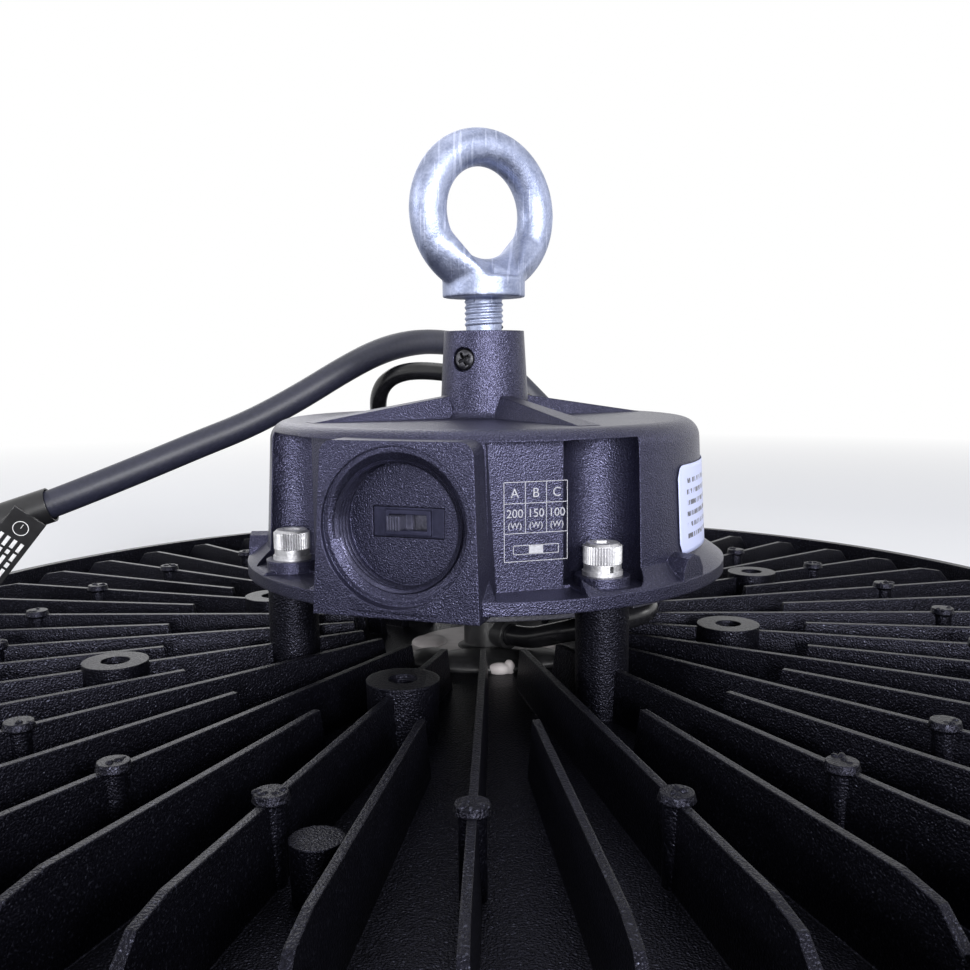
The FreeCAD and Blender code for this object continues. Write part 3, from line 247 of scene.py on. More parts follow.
def buildScratches(made):
    group, entry, leave = newGroup(
        "scratches",
        [("Amount", "NodeSocketFloat", 0.5), ("Base", "NodeSocketColor", (0.6, 0.6, 0.6, 1)),
         ("Bright", "NodeSocketColor", (0.9, 0.9, 0.9, 1))],
        [("Color", "NodeSocketColor"), ("Roughness", "NodeSocketFloat"),
         ("Normal", "NodeSocketVector")])
    given, place = entry.outputs, group.nodes.new("ShaderNodeTexCoord").outputs["Object"]
    streaks = []
    for turn, fineness in made["lines"]:
        mapped = group.nodes.new("ShaderNodeMapping")
        mapped.inputs["Rotation"].default_value = (turn, turn * made["tilt"], turn)
        mapped.inputs["Scale"].default_value = (fineness, *made["stretch"])
        link(group, place, mapped.inputs["Vector"])
        lines = noiseNode(group, mapped.outputs[0], 1.0, 1.0)
        streaks.append(rangeNode(group, lines, *made["edges"]))
    streaks = mathNode(group, "MAXIMUM", *streaks)
    cloud = noiseNode(group, place, made["cloudScale"], made["cloudDetail"],
                      made["cloudRoughness"])
    speck = noiseNode(group, place, made["speckScale"])
    tone = mathNode(group, "ADD", mathNode(group, "MULTIPLY", cloud, made["cloudShare"]),
                    mathNode(group, "MULTIPLY", speck, made["speckShare"]))
    tone = mathNode(group, "ADD", rangeNode(group, tone, *made["tones"]),
                    mathNode(group, "MULTIPLY", streaks, given["Amount"]))
    link(group, mixColour(group, tone, given["Base"], given["Bright"]),
         leave.inputs["Color"])
    link(group, rangeNode(group, cloud, *made["clouds"], *made["rough"]),
         leave.inputs["Roughness"])
    bump = group.nodes.new("ShaderNodeBump")
    bump.inputs["Strength"].default_value = made["bumpStrength"]
    bump.inputs["Distance"].default_value = made["bumpDistance"]
    link(group, mathNode(group, "ADD", speck, cloud), bump.inputs["Height"])
    link(group, bump.outputs["Normal"], leave.inputs["Normal"])
    return group


coatGrain = buildCoatGrain(grainSettings)
scratches = buildScratches(scratchSettings)


def newMaterial(name, **sockets):
    material = bpy.data.materials.new(name)
    material.use_nodes = True
    shader = material.node_tree.nodes["Principled BSDF"]
    for label, given in sockets.items():
        socket = shader.inputs[label.replace("_", " ")]
        socket.default_value = (*given, 1.0) if isinstance(given, tuple) else given
    return material, material.node_tree, shader


def groupMaterial(name, group, given, **sockets):
    material, tree, shader = newMaterial(name, **sockets)
    node = tree.nodes.new("ShaderNodeGroup")
    node.node_tree = group
    for label, value in given.items():
        node.inputs[label].default_value = (*value, 1) if isinstance(value, tuple) else value
    for label, target in (("Color", "Base Color"), ("Roughness", "Roughness"),
                          ("Normal", "Normal")):
        link(tree, node.outputs[label], shader.inputs[target])
    return material


def coated(name, dark, light, rough=(0.3, 0.5), scale=1400.0, depth=0.3, paintedGlints=0.0,
           **sockets):
    given = {"Dark": dark, "Light": light, "Rough Low": rough[0], "Rough High": rough[1],
             "Scale": scale, "Depth": depth, "Painted Glints": paintedGlints}
    return groupMaterial(name, coatGrain, given, **sockets)


def scratched(name, base, bright, amount):
    given = {"Base": base, "Bright": bright, "Amount": amount}
    return groupMaterial(name, scratches, given, Metallic=1.0)


# paints and plastics: darkest and lightest colour, roughness, grain per metre, grain depth
# and painted glints (bright spots in the colour that stand in for sparkle highlights);
# metals: dull colour, bright colour and scratches
finishes = {
    "sinkCoat": coated("sinkCoat", (0.0025, 0.0025, 0.005), (0.01, 0.01, 0.018),
                       (0.32, 0.44), 2400.0, 0.85, 0.07, Metallic=0.85),
    "housingCoat": coated("housingCoat", (0.013, 0.013, 0.028), (0.055, 0.055, 0.1),
                          (0.28, 0.37), 2900.0, 0.8, 0.1, Metallic=0.8),
    # lighter copy of the housing paint for the port thread: the extra lightness is a painted
    # highlight on the thread's rings
    "threadCoatPaintedHighlight": coated("threadCoatPaintedHighlight", (0.03, 0.03, 0.055), (0.09, 0.09, 0.15),
                         (0.22, 0.3), 2900.0, 0.15, Metallic=0.8),
    "coverCoat": coated("coverCoat", (0.02, 0.02, 0.03), (0.04, 0.04, 0.055)),
    "eyeZinc": scratched("eyeZinc", (0.17, 0.2, 0.31), (0.44, 0.48, 0.63), 0.5),
    "screwZinc": scratched("screwZinc", (0.5, 0.51, 0.54), (0.85, 0.86, 0.9), 0.2),
    "capSteel": scratched("capSteel", (0.34, 0.34, 0.36), (0.64, 0.64, 0.67), 0.3),
    "setScrewSteel": scratched("setScrewSteel", (0.3, 0.3, 0.32), (0.8, 0.8, 0.84), 0.4),
    "blackOxide": scratched("blackOxide", (0.02, 0.02, 0.024), (0.16, 0.16, 0.18), 0.3),
    "silicone": coated("silicone", (0.32, 0.295, 0.3), (0.42, 0.39, 0.395), (0.4, 0.6),
                       300.0, 0.3),
    "blackPlastic": coated("blackPlastic", (0.006, 0.006, 0.014), (0.014, 0.014, 0.028),
                           (0.35, 0.5), 900.0, 0.2, Specular_Tint=(0.6, 0.62, 1.0)),
    "sliderPlastic": coated("sliderPlastic", (0.03, 0.03, 0.045), (0.06, 0.06, 0.085),
                            (0.25, 0.4), 900.0, 0.1, Specular_Tint=(0.6, 0.62, 1.0)),
    "contactMetal": scratched("contactMetal", (0.05, 0.05, 0.07), (0.16, 0.16, 0.21), 0.2),
    "nylon": coated("nylon", (0.012, 0.012, 0.014), (0.03, 0.03, 0.034), (0.3, 0.45),
                    700.0, 0.15),
    "rubberBlack": coated("rubberBlack", (0.008, 0.008, 0.009), (0.02, 0.02, 0.022),
                          (0.35, 0.55), 600.0, 0.15),
    "mainsSheath": coated("mainsSheath", (0.009, 0.01, 0.021), (0.018, 0.019, 0.036),
                          (0.42, 0.55), 900.0, 0.2),
    "outputSheath": coated("outputSheath", (0.004, 0.004, 0.005), (0.01, 0.01, 0.012),
                           (0.2, 0.3), 500.0, 0.08),
    "boardGreen": coated("boardGreen", (0.01, 0.12, 0.04), (0.03, 0.2, 0.08)),
    "tapeYellow": coated("tapeYellow", (0.6, 0.45, 0.05), (0.75, 0.6, 0.1)),
    "sleeveBlue": coated("sleeveBlue", (0.02, 0.03, 0.06), (0.04, 0.05, 0.09)),
    "ferrite": coated("ferrite", (0.03, 0.03, 0.03), (0.07, 0.07, 0.07)),
    "filmBox": coated("filmBox", (0.6, 0.5, 0.1), (0.7, 0.6, 0.15)),
    "bareAluminium": scratched("bareAluminium", (0.6, 0.6, 0.62), (0.85, 0.85, 0.87), 0.4),
    "terminalGreen": coated("terminalGreen", (0.03, 0.2, 0.08), (0.06, 0.3, 0.12)),
    "boardWhite": coated("boardWhite", (0.7, 0.7, 0.68), (0.8, 0.8, 0.78)),
    "phosphor": coated("phosphor", (0.75, 0.6, 0.1), (0.85, 0.72, 0.2)),
    "labelFilm": coated("labelFilm", (0.006, 0.006, 0.007), (0.014, 0.014, 0.016),
                        (0.3, 0.4), 400.0, 0.1),
    "printWhite": coated("printWhite", (0.6, 0.6, 0.62), (0.75, 0.75, 0.77)),
    "printGrey": coated("printGrey", (0.32, 0.32, 0.36), (0.42, 0.42, 0.47)),
}


lensLook = {
    "tint": (0.93, 0.95, 0.96), "clear": 0.9, "index": 1.5,
    "cloudScale": 60.0, "cloudDetail": 3.0, "clouds": (0.3, 0.7), "rough": (0.08, 0.16),
}


def lensMaterial(made):
    material, tree, shader = newMaterial(
        "lensClear", Base_Color=made["tint"], Transmission_Weight=made["clear"],
        IOR=made["index"])
    place = tree.nodes.new("ShaderNodeTexCoord").outputs["Object"]
    cloud = noiseNode(tree, place, made["cloudScale"], made["cloudDetail"])
    link(tree, rangeNode(tree, cloud, *made["clouds"], *made["rough"]),
         shader.inputs["Roughness"])
    return material


# the upper core is green, and the two lower ones brown and blue
coreColours = {
    "across": (0.465, 0.885, 0.0), "middle": -0.1356, "split": 0.0055,
    "upper": (0.05, 0.2, 0.05), "near": (0.12, 0.045, 0.015), "far": (0.02, 0.06, 0.22),
    "grainScale": 900.0, "grain": (0.3, 0.7), "rough": (0.3, 0.45),
}


def coreMaterial(made):
    material, tree, shader = newMaterial("coreColours")
    place = tree.nodes.new("ShaderNodeTexCoord").outputs["Object"]
    side = tree.nodes.new("ShaderNodeVectorMath")
    side.operation = "DOT_PRODUCT"
    side.inputs[1].default_value = made["across"]
    link(tree, place, side.inputs[0])
    parts = tree.nodes.new("ShaderNodeSeparateXYZ")
    link(tree, place, parts.inputs[0])
    beyond = mathNode(tree, "GREATER_THAN", side.outputs["Value"], made["middle"])
    above = mathNode(tree, "GREATER_THAN", parts.outputs["Z"], made["split"])
    lower = mixColour(tree, beyond, made["near"], made["far"])
    link(tree, mixColour(tree, above, lower, made["upper"]), shader.inputs["Base Color"])
    grain = noiseNode(tree, place, made["grainScale"])
    link(tree, rangeNode(tree, grain, *made["grain"], *made["rough"]),
         shader.inputs["Roughness"])
    return material


finishes["lensClear"] = lensMaterial(lensLook)
finishes["coreColours"] = coreMaterial(coreColours)

nodeFinish = {
    "heat_sink": "sinkCoat", "driver_housing": "housingCoat", "bottom_cover": "coverCoat",
    "cover_gasket": "silicone", "cover_screws": "screwZinc", "lifting_eye": "eyeZinc",
    "tower_set_screw": "setScrewSteel", "housing_screws": "capSteel",
    "spring_washers": "capSteel", "flat_washers": "capSteel",
    "switch_body": "blackPlastic", "switch_contacts": "contactMetal",
    "switch_slider": "sliderPlastic", "switch_terminals": "contactMetal",
    "driver_board": "boardGreen", "transformer": "tapeYellow",
    "electrolytic_capacitors": "sleeveBlue", "choke": "ferrite", "film_capacitor": "filmBox",
    "heat_spreader": "bareAluminium", "transistors": "blackPlastic",
    "terminal_block": "terminalGreen", "mains_gland": "nylon", "mains_gland_nut": "nylon",
    "output_gland": "nylon", "output_gland_nut": "nylon", "centre_seal": "silicone",
    "lead_entry": "rubberBlack", "led_board": "boardWhite", "leds": "phosphor",
    "lens_plate": "lensClear", "lens_seal": "silicone", "bezel_ring": "housingCoat",
    "bezel_screws": "screwZinc", "mains_lead": "mainsSheath", "mains_cores": "coreColours",
    "output_lead": "outputSheath", "cord_label": "labelFilm",
}
for name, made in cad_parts.items():
    material = finishes[nodeFinish[name]]
    made.data.materials.clear()
    made.data.materials.append(material)
print("materials made")


# leads: the points that they follow, in millimetres
mainsLead = {
    "radius": 4.3,
    "exit": (34.62, 75.10, 68.0),
    "route": [
        (38.2, 88.6, 68.0), (35.0, 105.0, 72.5), (24.5, 116.5, 81.5), (12.5, 119.5, 94.0),
        (1.5, 112.0, 104.7), (-8.0, 98.5, 109.6), (-19.0, 84.0, 111.0),
        (-27.5, 71.5, 110.2), (-36.5, 62.8, 107.3), (-46.5, 56.2, 101.8),
        (-60.5, 49.0, 92.8), (-75.0, 42.6, 84.8), (-90.0, 36.3, 78.8), (-104.5, 31.0, 72.7),
        (-119.0, 26.6, 66.9), (-133.5, 23.3, 61.3), (-148.5, 21.0, 56.4),
        (-165.0, 18.3, 51.8), (-183.5, 15.0, 46.2), (-202.5, 11.0, 37.5),
        (-221.0, 7.0, 26.0), (-239.0, 4.0, 14.5), (-258.0, 3.0, 6.2), (-279.0, 4.5, 4.4),
        (-301.0, 9.0, 4.5), (-323.0, 16.5, 4.4), (-343.0, 27.0, 4.4)],
}
outputLead = {
    "radius": 2.9,
    "exit": (6.28, 77.52, 68.0),
    "route": [
        (9.4, 89.1, 68.0), (2.6, 103.6, 70.0), (-11.9, 109.0, 73.0), (-26.0, 103.2, 76.5),
        (-35.0, 91.5, 79.5), (-38.0, 79.5, 83.0), (-38.0, 70.0, 90.3), (-35.3, 65.8, 97.0),
        (-28.6, 62.8, 100.7), (-18.5, 59.5, 101.0), (-7.0, 57.5, 99.2), (5.0, 57.5, 94.4),
        (16.0, 59.5, 88.8), (27.5, 60.5, 85.3), (39.0, 59.0, 83.0), (47.0, 55.5, 76.5),
        (50.5, 52.0, 67.0), (50.5, 51.0, 56.5), (46.5, 49.5, 46.5), (40.5, 43.5, 40.3),
        (36.0, 33.5, 38.3), (36.5, 21.0, 38.0), (40.0, 8.5, 37.9), (43.5, -3.0, 37.9),
        (44.0, -11.5, 37.9), (39.6, -18.9, 37.8), (31.9, -22.7, 37.4), (23.4, -21.6, 35.0),
        (17.0, -15.6, 32.0), (12.6, -11.5, 30.0), (7.8, -7.03, 29.4), (2.97, -2.68, 29.4)],
}


leadCurve = {"order": 3, "along": 8, "around": 8}   # the leads' smoothness


def addLead(name, lead, material):
    curve = bpy.data.curves.new(name, "CURVE")
    curve.dimensions = "3D"
    curve.bevel_depth = lead["radius"] * mm
    curve.bevel_resolution = leadCurve["around"]
    curve.use_fill_caps = True
    spline = curve.splines.new("NURBS")
    points = [lead["exit"]] + lead["route"]
    spline.points.add(len(points) - 1)
    for spot, place in zip(spline.points, points):
        spot.co = (*(Vector(place) * mm), 1.0)
    spline.order_u = leadCurve["order"]
    spline.use_endpoint_u = True
    spline.resolution_u = leadCurve["along"]
    made = bpy.data.objects.new(name, curve)
    scene.collection.objects.link(made)
    curve.materials.append(material)
    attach(made, "lamp")
    return made


mainsCord = addLead("mainsLead", mainsLead, finishes["mainsSheath"])
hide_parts("mains_lead")
outputCord = addLead("outputLead", outputLead, finishes["outputSheath"])
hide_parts("output_lead")
print("leads laid")


# threads, knurls and small pieces
portThread = {
    "azimuth": -107.5, "height": 68.0, "floor": 54.9, "mouth": 60.2,
    "root": 14.95, "crest": 14.05, "pitch": 1.5, "steps": 96,
    "foot": 0.7, "land": 0.15, "sunk": 0.1,
}


def windThread(bm, made, corners, turns):
    # corners are radius and height in millimetres, and they wind up the Z axis
    spots = [bm.verts.new((radius * mm, 0, height * mm)) for radius, height in corners]
    edges = [bm.edges.new(pair) for pair in zip(spots, spots[1:])]
    bmesh.ops.spin(bm, geom=spots + edges, cent=(0, 0, 0), axis=(0, 0, 1),
                   dvec=(0, 0, made["pitch"] * mm / made["steps"]),
                   angle=2 * math.pi * turns, steps=int(made["steps"] * turns),
                   use_merge=False)


def addPortThread(made):
    bm = bmesh.new()
    half = made["pitch"] / 2
    turns = (made["mouth"] - made["floor"]) / made["pitch"]
    buried, foot, land = made["root"] + made["sunk"], half * made["foot"], half * made["land"]
    windThread(bm, made, [(buried, 0.0), (made["root"], half - foot),
                          (made["crest"], half - land), (made["crest"], half + land),
                          (made["root"], half + foot), (buried, 2 * half)], turns)
    start = onAzimuth(made["azimuth"], made["floor"], made["height"])
    bmesh.ops.transform(bm, matrix=basisAt(start, outwardAt(made["azimuth"])),
                        verts=bm.verts)
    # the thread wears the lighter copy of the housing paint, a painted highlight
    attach(meshObject("portThread", bm, finishes["threadCoatPaintedHighlight"]), "lamp")


addPortThread(portThread)

shankThread = {
    "low": 112.3, "high": 120.8, "root": 4.85, "crest": 5.2, "pitch": 1.5, "steps": 48,
    "foot": 0.8, "land": 0.1,
}


def addShankThread(made):
    bm = bmesh.new()
    half = made["pitch"] / 2
    turns = (made["high"] - made["low"] - made["pitch"]) / made["pitch"]
    foot, land, start = half * made["foot"], half * made["land"], made["low"] + half
    windThread(bm, made, [(made["root"], start - foot), (made["crest"], start - land),
                          (made["crest"], start + land), (made["root"], start + foot)], turns)
    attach(meshObject("shankThread", bm, finishes["eyeZinc"]), "lamp")


addShankThread(shankThread)

headKnurl = {
    "circle": 55.5, "azimuths": (-150.0, -60.0, 30.0, 120.0),
    "radius": 4.2, "height": 0.3, "low": 57.9, "high": 62.0, "count": 44,
}


def addHeadKnurl(made):
    bm = bmesh.new()
    middle = Vector((0, 0, (made["low"] + made["high"]) * mm / 2))
    for azimuth in made["azimuths"]:
        screw = Matrix.Translation(onAzimuth(azimuth, made["circle"], 0.0) + middle)
        for tooth in range(made["count"]):
            turn = Matrix.Rotation(2 * math.pi * tooth / made["count"], 4, "Z")
            reach = Matrix.Translation((made["radius"] * mm, 0, 0))
            bmesh.ops.create_cone(
                bm, cap_ends=True, segments=4, radius1=made["height"] * mm,
                radius2=made["height"] * mm, depth=(made["high"] - made["low"]) * mm,
                matrix=screw @ turn @ reach)
    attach(meshObject("headKnurl", bm, finishes["capSteel"], smooth=False), "lamp")


addHeadKnurl(headKnurl)
print("threads and knurls made")


# the forged eye, its ring blended into the collar
forgedEye = {
    "ringAngle": 33.8, "ringHeight": 143.2, "ringRadius": 16.95, "wire": 4.95,
    "collarRadius": 11.1, "collarLow": 120.9, "collarHigh": 126.4, "shankRadius": 4.85,
    "shankLow": 92.5, "blendTo": 64.0, "blendSteps": 8, "collarSweep": 130.0,
    "collarInset": 0.4, "shankOverlap": 1, "wireSides": 32, "ringSteps": 80,
    "collarSides": 64, "sectionPoints": 20, "arcSteps": 12, "voxel": 0.5, "softness": 9,
}


def hullAround(bm, places):
    spots = [bm.verts.new(place) for place in places]
    hull = bmesh.ops.convex_hull(bm, input=spots)
    inside = {item for item in hull["geom_interior"] + hull["geom_unused"]
              if isinstance(item, bmesh.types.BMVert)}
    bmesh.ops.delete(bm, geom=list(inside), context="VERTS")


def wireSection(made, angle):
    # points round the wire at an angle from the ring's lowest point
    turn = math.radians(angle)
    places = []
    for step in range(made["sectionPoints"]):
        around = 2 * math.pi * step / made["sectionPoints"]
        reach = made["ringRadius"] + made["wire"] * math.cos(around)
        places.append(Vector((reach * math.sin(turn), made["wire"] * math.sin(around),
                              made["ringHeight"] - reach * math.cos(turn))) * mm)
    return places


def collarArc(made, side):
    middle = 0.0 if side > 0 else 180.0
    return [onAzimuth(middle + (step / made["arcSteps"] - 0.5) * made["collarSweep"],
                      made["collarRadius"] - made["collarInset"],
                      made["collarHigh"] - made["collarInset"])
            for step in range(made["arcSteps"] + 1)]


def addForgedEye(made):
    bm = bmesh.new()
    wire = bmesh.ops.create_circle(bm, segments=made["wireSides"],
                                   radius=made["wire"] * mm)
    bmesh.ops.translate(bm, verts=wire["verts"], vec=(made["ringRadius"] * mm, 0, 0))
    bmesh.ops.spin(bm, geom=bm.edges[:], cent=(0, 0, 0), axis=(0, 1, 0),
                   angle=2 * math.pi, steps=made["ringSteps"], use_merge=True)
    bmesh.ops.translate(bm, verts=bm.verts, vec=(0, 0, made["ringHeight"] * mm))
    for side in (1, -1):
        for step in range(made["blendSteps"]):
            angles = [side * made["blendTo"] * (step + more) / made["blendSteps"]
                      for more in (0, 1)]
            hullAround(bm, wireSection(made, angles[0]) + wireSection(made, angles[1])
                       + collarArc(made, side))
    for radius, low, high in (
            (made["collarRadius"], made["collarLow"], made["collarHigh"]),
            (made["shankRadius"], made["shankLow"],
             made["collarLow"] + made["shankOverlap"])):
        bmesh.ops.create_cone(
            bm, cap_ends=True, segments=made["collarSides"], radius1=radius * mm,
            radius2=radius * mm, depth=(high - low) * mm,
            matrix=Matrix.Translation((0, 0, (low + high) / 2 * mm)))
    bmesh.ops.rotate(bm, verts=bm.verts, cent=(0, 0, 0),
                     matrix=Matrix.Rotation(math.radians(made["ringAngle"]), 3, "Z"))
    eye = meshObject("forgedEye", bm, finishes["eyeZinc"])
    joined = eye.modifiers.new("forging", "REMESH")
    joined.mode = "VOXEL"
    joined.voxel_size = made["voxel"] * mm
    joined.use_smooth_shade = True
    soft = eye.modifiers.new("softness", "SMOOTH")
    soft.factor = 0.5
    soft.iterations = made["softness"]
    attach(eye, "lamp")
    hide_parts("lifting_eye")


addForgedEye(forgedEye)

crossScrew = {
    "azimuth": -119.0, "height": 104.5, "face": 10.9, "back": 5.2, "seat": 9.2,
    "radius": 2.85, "stem": 1.9, "armWidth": 0.85, "armReach": 1.75, "depth": 1.3,
    "turn": 28.0, "sides": 48,
    "dome": ((1.0, 0.75), (0.86, 0.25), (0.5, 0.02), (0.0, 0.0)),   # radius share, drop
}


def addCrossScrew(made):
    place = basisAt(onAzimuth(made["azimuth"], 0.0, made["height"]),
                    outwardAt(made["azimuth"]))
    bm = bmesh.new()
    corners = [(0.0, made["back"]), (made["stem"], made["back"]),
               (made["stem"], made["seat"]), (made["radius"], made["seat"])]
    corners += [(made["radius"] * share, made["face"] - drop) for share, drop in made["dome"]]
    spots = [bm.verts.new((radius * mm, 0, along * mm)) for radius, along in corners]
    outline = [bm.edges.new(pair) for pair in zip(spots, spots[1:])]
    bmesh.ops.spin(bm, geom=spots + outline, cent=(0, 0, 0), axis=(0, 0, 1),
                   angle=2 * math.pi, steps=made["sides"], use_merge=True)
    screw = meshObject("crossScrew", bm, finishes["blackOxide"])
    cutter = bmesh.new()
    for turn in (0, 90):
        arm = bmesh.ops.create_cube(cutter, size=1.0)
        size = Matrix.Diagonal((2 * made["armReach"] * mm, made["armWidth"] * mm,
                                2 * made["depth"] * mm, 1))
        spin = Matrix.Rotation(math.radians(made["turn"] + turn), 4, "Z")
        lift = Matrix.Translation((0, 0, made["face"] * mm))
        bmesh.ops.transform(cutter, matrix=lift @ spin @ size, verts=arm["verts"])
    recess = meshObject("recessCutter", cutter, finishes["blackOxide"], smooth=False)
    cut = screw.modifiers.new("recess", "BOOLEAN")
    cut.object = recess
    cut.operation = "DIFFERENCE"
    cut.solver = "EXACT"
    cut.use_self = True
    shaped = bpy.data.meshes.new_from_object(
        screw.evaluated_get(bpy.context.evaluated_depsgraph_get()))
    screw.modifiers.clear()
    screw.data = shaped
    screw.data.transform(place)
    bpy.data.objects.remove(recess)
    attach(screw, "lamp")
    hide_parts("tower_set_screw")


addCrossScrew(crossScrew)
print("eye and set screw made")


# rough casting burrs on the columns' caps
columnBurrs = {
    "count": 24, "circle": 126.7, "top": 34.9, "spread": 2.4, "reach": (0.3, 1.0),
    "blobs": 4, "size": (0.7, 1.3), "narrow": 0.7, "tall": (0.5, 0.9), "seed": 5,
}


def addColumnBurrs(made):
    draw = random.Random(made["seed"])
    bm = bmesh.new()
    for column in range(made["count"]):
        middle = onAzimuth(-90 + 360 / made["count"] * column, made["circle"], made["top"])
        for blob in range(made["blobs"]):
            turn = draw.uniform(0, 2 * math.pi)
            reach = made["spread"] * draw.uniform(*made["reach"])
            size = draw.uniform(*made["size"])
            shape = Matrix.Diagonal((size, size * made["narrow"],
                                     draw.uniform(*made["tall"]), 1))
            aside = Vector((reach * math.cos(turn), reach * math.sin(turn), 0)) * mm
            bmesh.ops.create_icosphere(
                bm, subdivisions=2, radius=mm, matrix=Matrix.Translation(middle + aside)
                @ Matrix.Rotation(turn, 4, "Z") @ shape)
    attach(meshObject("columnBurrs", bm, finishes["sinkCoat"]), "lamp")


addColumnBurrs(columnBurrs)

# each lump of sealant is its middle and its half sizes; the black lumps are dark sealant, and
# the large front one also reaches over the seal's front edge as painted shade
sealantSmear = {
    "black": ((0.0, -14.6, 24.5, 17.0, 8.7, 2.7), (-15.0, -12.0, 24.6, 6.0, 7.0, 2.2),
              (14.5, -12.5, 24.6, 6.5, 6.5, 2.3)),
    "pale": ((3.8, -22.2, 24.7, 3.0, 1.6, 1.7), (6.3, -21.6, 24.9, 1.5, 1.2, 2.1),
             (-16.2, 3.0, 24.9, 5.0, 6.5, 1.4), (17.0, 2.0, 24.9, 4.0, 5.5, 1.2)),
}


def addSmear(name, lumps, material):
    bm = bmesh.new()
    for x, y, z, wide, deep, tall in lumps:
        place = (Matrix.Translation(Vector((x, y, z)) * mm)
                 @ Matrix.Diagonal((wide, deep, tall, 1)))
        bmesh.ops.create_icosphere(bm, subdivisions=4, radius=mm, matrix=place)
    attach(meshObject(name, bm, material), "lamp")


# the black lumps: dark sealant, and partly painted shade over the centre seal's front edge
addSmear("blackSealantAndShade", sealantSmear["black"], finishes["rubberBlack"])
addSmear("paleSealant", sealantSmear["pale"], finishes["silicone"])

# generic bars and a plain ring on the mains lead's label
leadPrint = {
    "run": 16, "hang": (-0.64, 0.0, -0.77), "bandRadius": 5.3, "band": 20.0,
    "tail": 28.0, "end": 1.0, "raise": 0.06, "line": 0.22,
    "rows": (-3.4, -1.2, 1.0, 3.2), "bars": (2.6, 1.7, 3.4, 2.2, 2.9, 1.4, 3.1),
    "barWidth": 1.1, "barGap": 0.8, "rowShift": 2,
    "ringRadius": 2.3, "ringSpot": 5.0, "ringGap": 1.6, "ringSteps": 40,
    "strokeRise": 0.7, "strokeLength": 1.5,
}


def addLeadPrint(made, lead):
    first, last = (Vector(place) for place in lead["route"][made["run"] - 1:made["run"] + 1])
    along = (last - first).normalized()
    down = Vector(made["hang"]).normalized()
    front = along.cross(down).normalized()
    root = ((first + last) / 2 - along * (made["band"] / 4)
            + front * (made["bandRadius"] + made["raise"] / 2))
    face = axesAt(root * mm, (front.cross(down), down, front))
    bm = bmesh.new()
    lift = Matrix.Translation(Vector((0, made["ringSpot"], made["raise"] / 2)) * mm)
    for radius in (made["ringRadius"], made["ringRadius"] - made["line"]):
        bmesh.ops.create_circle(bm, segments=made["ringSteps"], radius=radius * mm,
                                matrix=face @ lift)
    bmesh.ops.bridge_loops(bm, edges=bm.edges[:])

    def bar(x, y, wide, tall):
        size = Matrix.Diagonal((wide * mm, tall * mm, made["raise"] * mm, 1))
        middle = Matrix.Translation(Vector((x, y, 0)) * mm)
        bmesh.ops.create_cube(bm, size=1.0, matrix=face @ middle @ size)

    bars = made["bars"]
    for row, across in enumerate(made["rows"]):
        spot = made["ringSpot"] + made["ringRadius"] + made["ringGap"]
        for step in range(len(bars)):
            length = bars[(step + made["rowShift"] * row) % len(bars)]
            if spot + length > made["tail"] - made["end"]:
                break
            bar(across, spot + length / 2, made["barWidth"], length)
            spot += length + made["barGap"]
    bar(0, made["ringSpot"] - made["strokeRise"], made["line"], made["strokeLength"])
    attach(meshObject("leadPrint", bm, finishes["printWhite"], smooth=False), "lamp")


addLeadPrint(leadPrint, mainsLead)
print("castings, sealant and lead print made")


# label round the drum, printed with generic dashes
drumLabel = {
    "radius": 59.3, "taper": 0.0518, "foot": 56.2, "from": -36.0, "to": 16.0,
    "low": 56.8, "high": 78.6, "corner": 3.0, "columns": 52, "rows": 22, "thick": 0.12,
    "film": (0.46, 0.5, 0.74), "ink": (0.05, 0.05, 0.07), "rough": 0.35,
    "printRows": 8.0, "printHeight": 0.22, "dashes": 95.0, "dashLevel": 0.47,
    "printAcross": (0.09, 0.93), "printUp": (0.1, 0.9),
}


def drumLabelMaterial(made):
    material, tree, shader = newMaterial("drumLabelPrint", Roughness=made["rough"])
    place = tree.nodes.new("ShaderNodeUVMap")
    place.uv_map = "print"
    parts = tree.nodes.new("ShaderNodeSeparateXYZ")
    link(tree, place.outputs["UV"], parts.inputs[0])
    across, up = parts.outputs["X"], parts.outputs["Y"]
    rows = mathNode(tree, "FRACT", mathNode(tree, "MULTIPLY", up, made["printRows"]))
    middle = mathNode(tree, "ABSOLUTE", mathNode(tree, "SUBTRACT", rows, 0.5))
    inRow = mathNode(tree, "LESS_THAN", middle, made["printHeight"])
    mapped = tree.nodes.new("ShaderNodeMapping")
    mapped.inputs["Scale"].default_value = (made["dashes"], made["printRows"], 1.0)
    link(tree, place.outputs["UV"], mapped.inputs["Vector"])
    dashes = mathNode(tree, "GREATER_THAN", noiseNode(tree, mapped.outputs[0], 1.0, 0.0),
                      made["dashLevel"])
    inside = mathNode(tree, "MULTIPLY", betweenNode(tree, across, *made["printAcross"]),
                      betweenNode(tree, up, *made["printUp"]))
    mask = mathNode(tree, "MULTIPLY", mathNode(tree, "MULTIPLY", inRow, dashes), inside)
    link(tree, mixColour(tree, mask, made["film"], made["ink"]), shader.inputs["Base Color"])
    return material


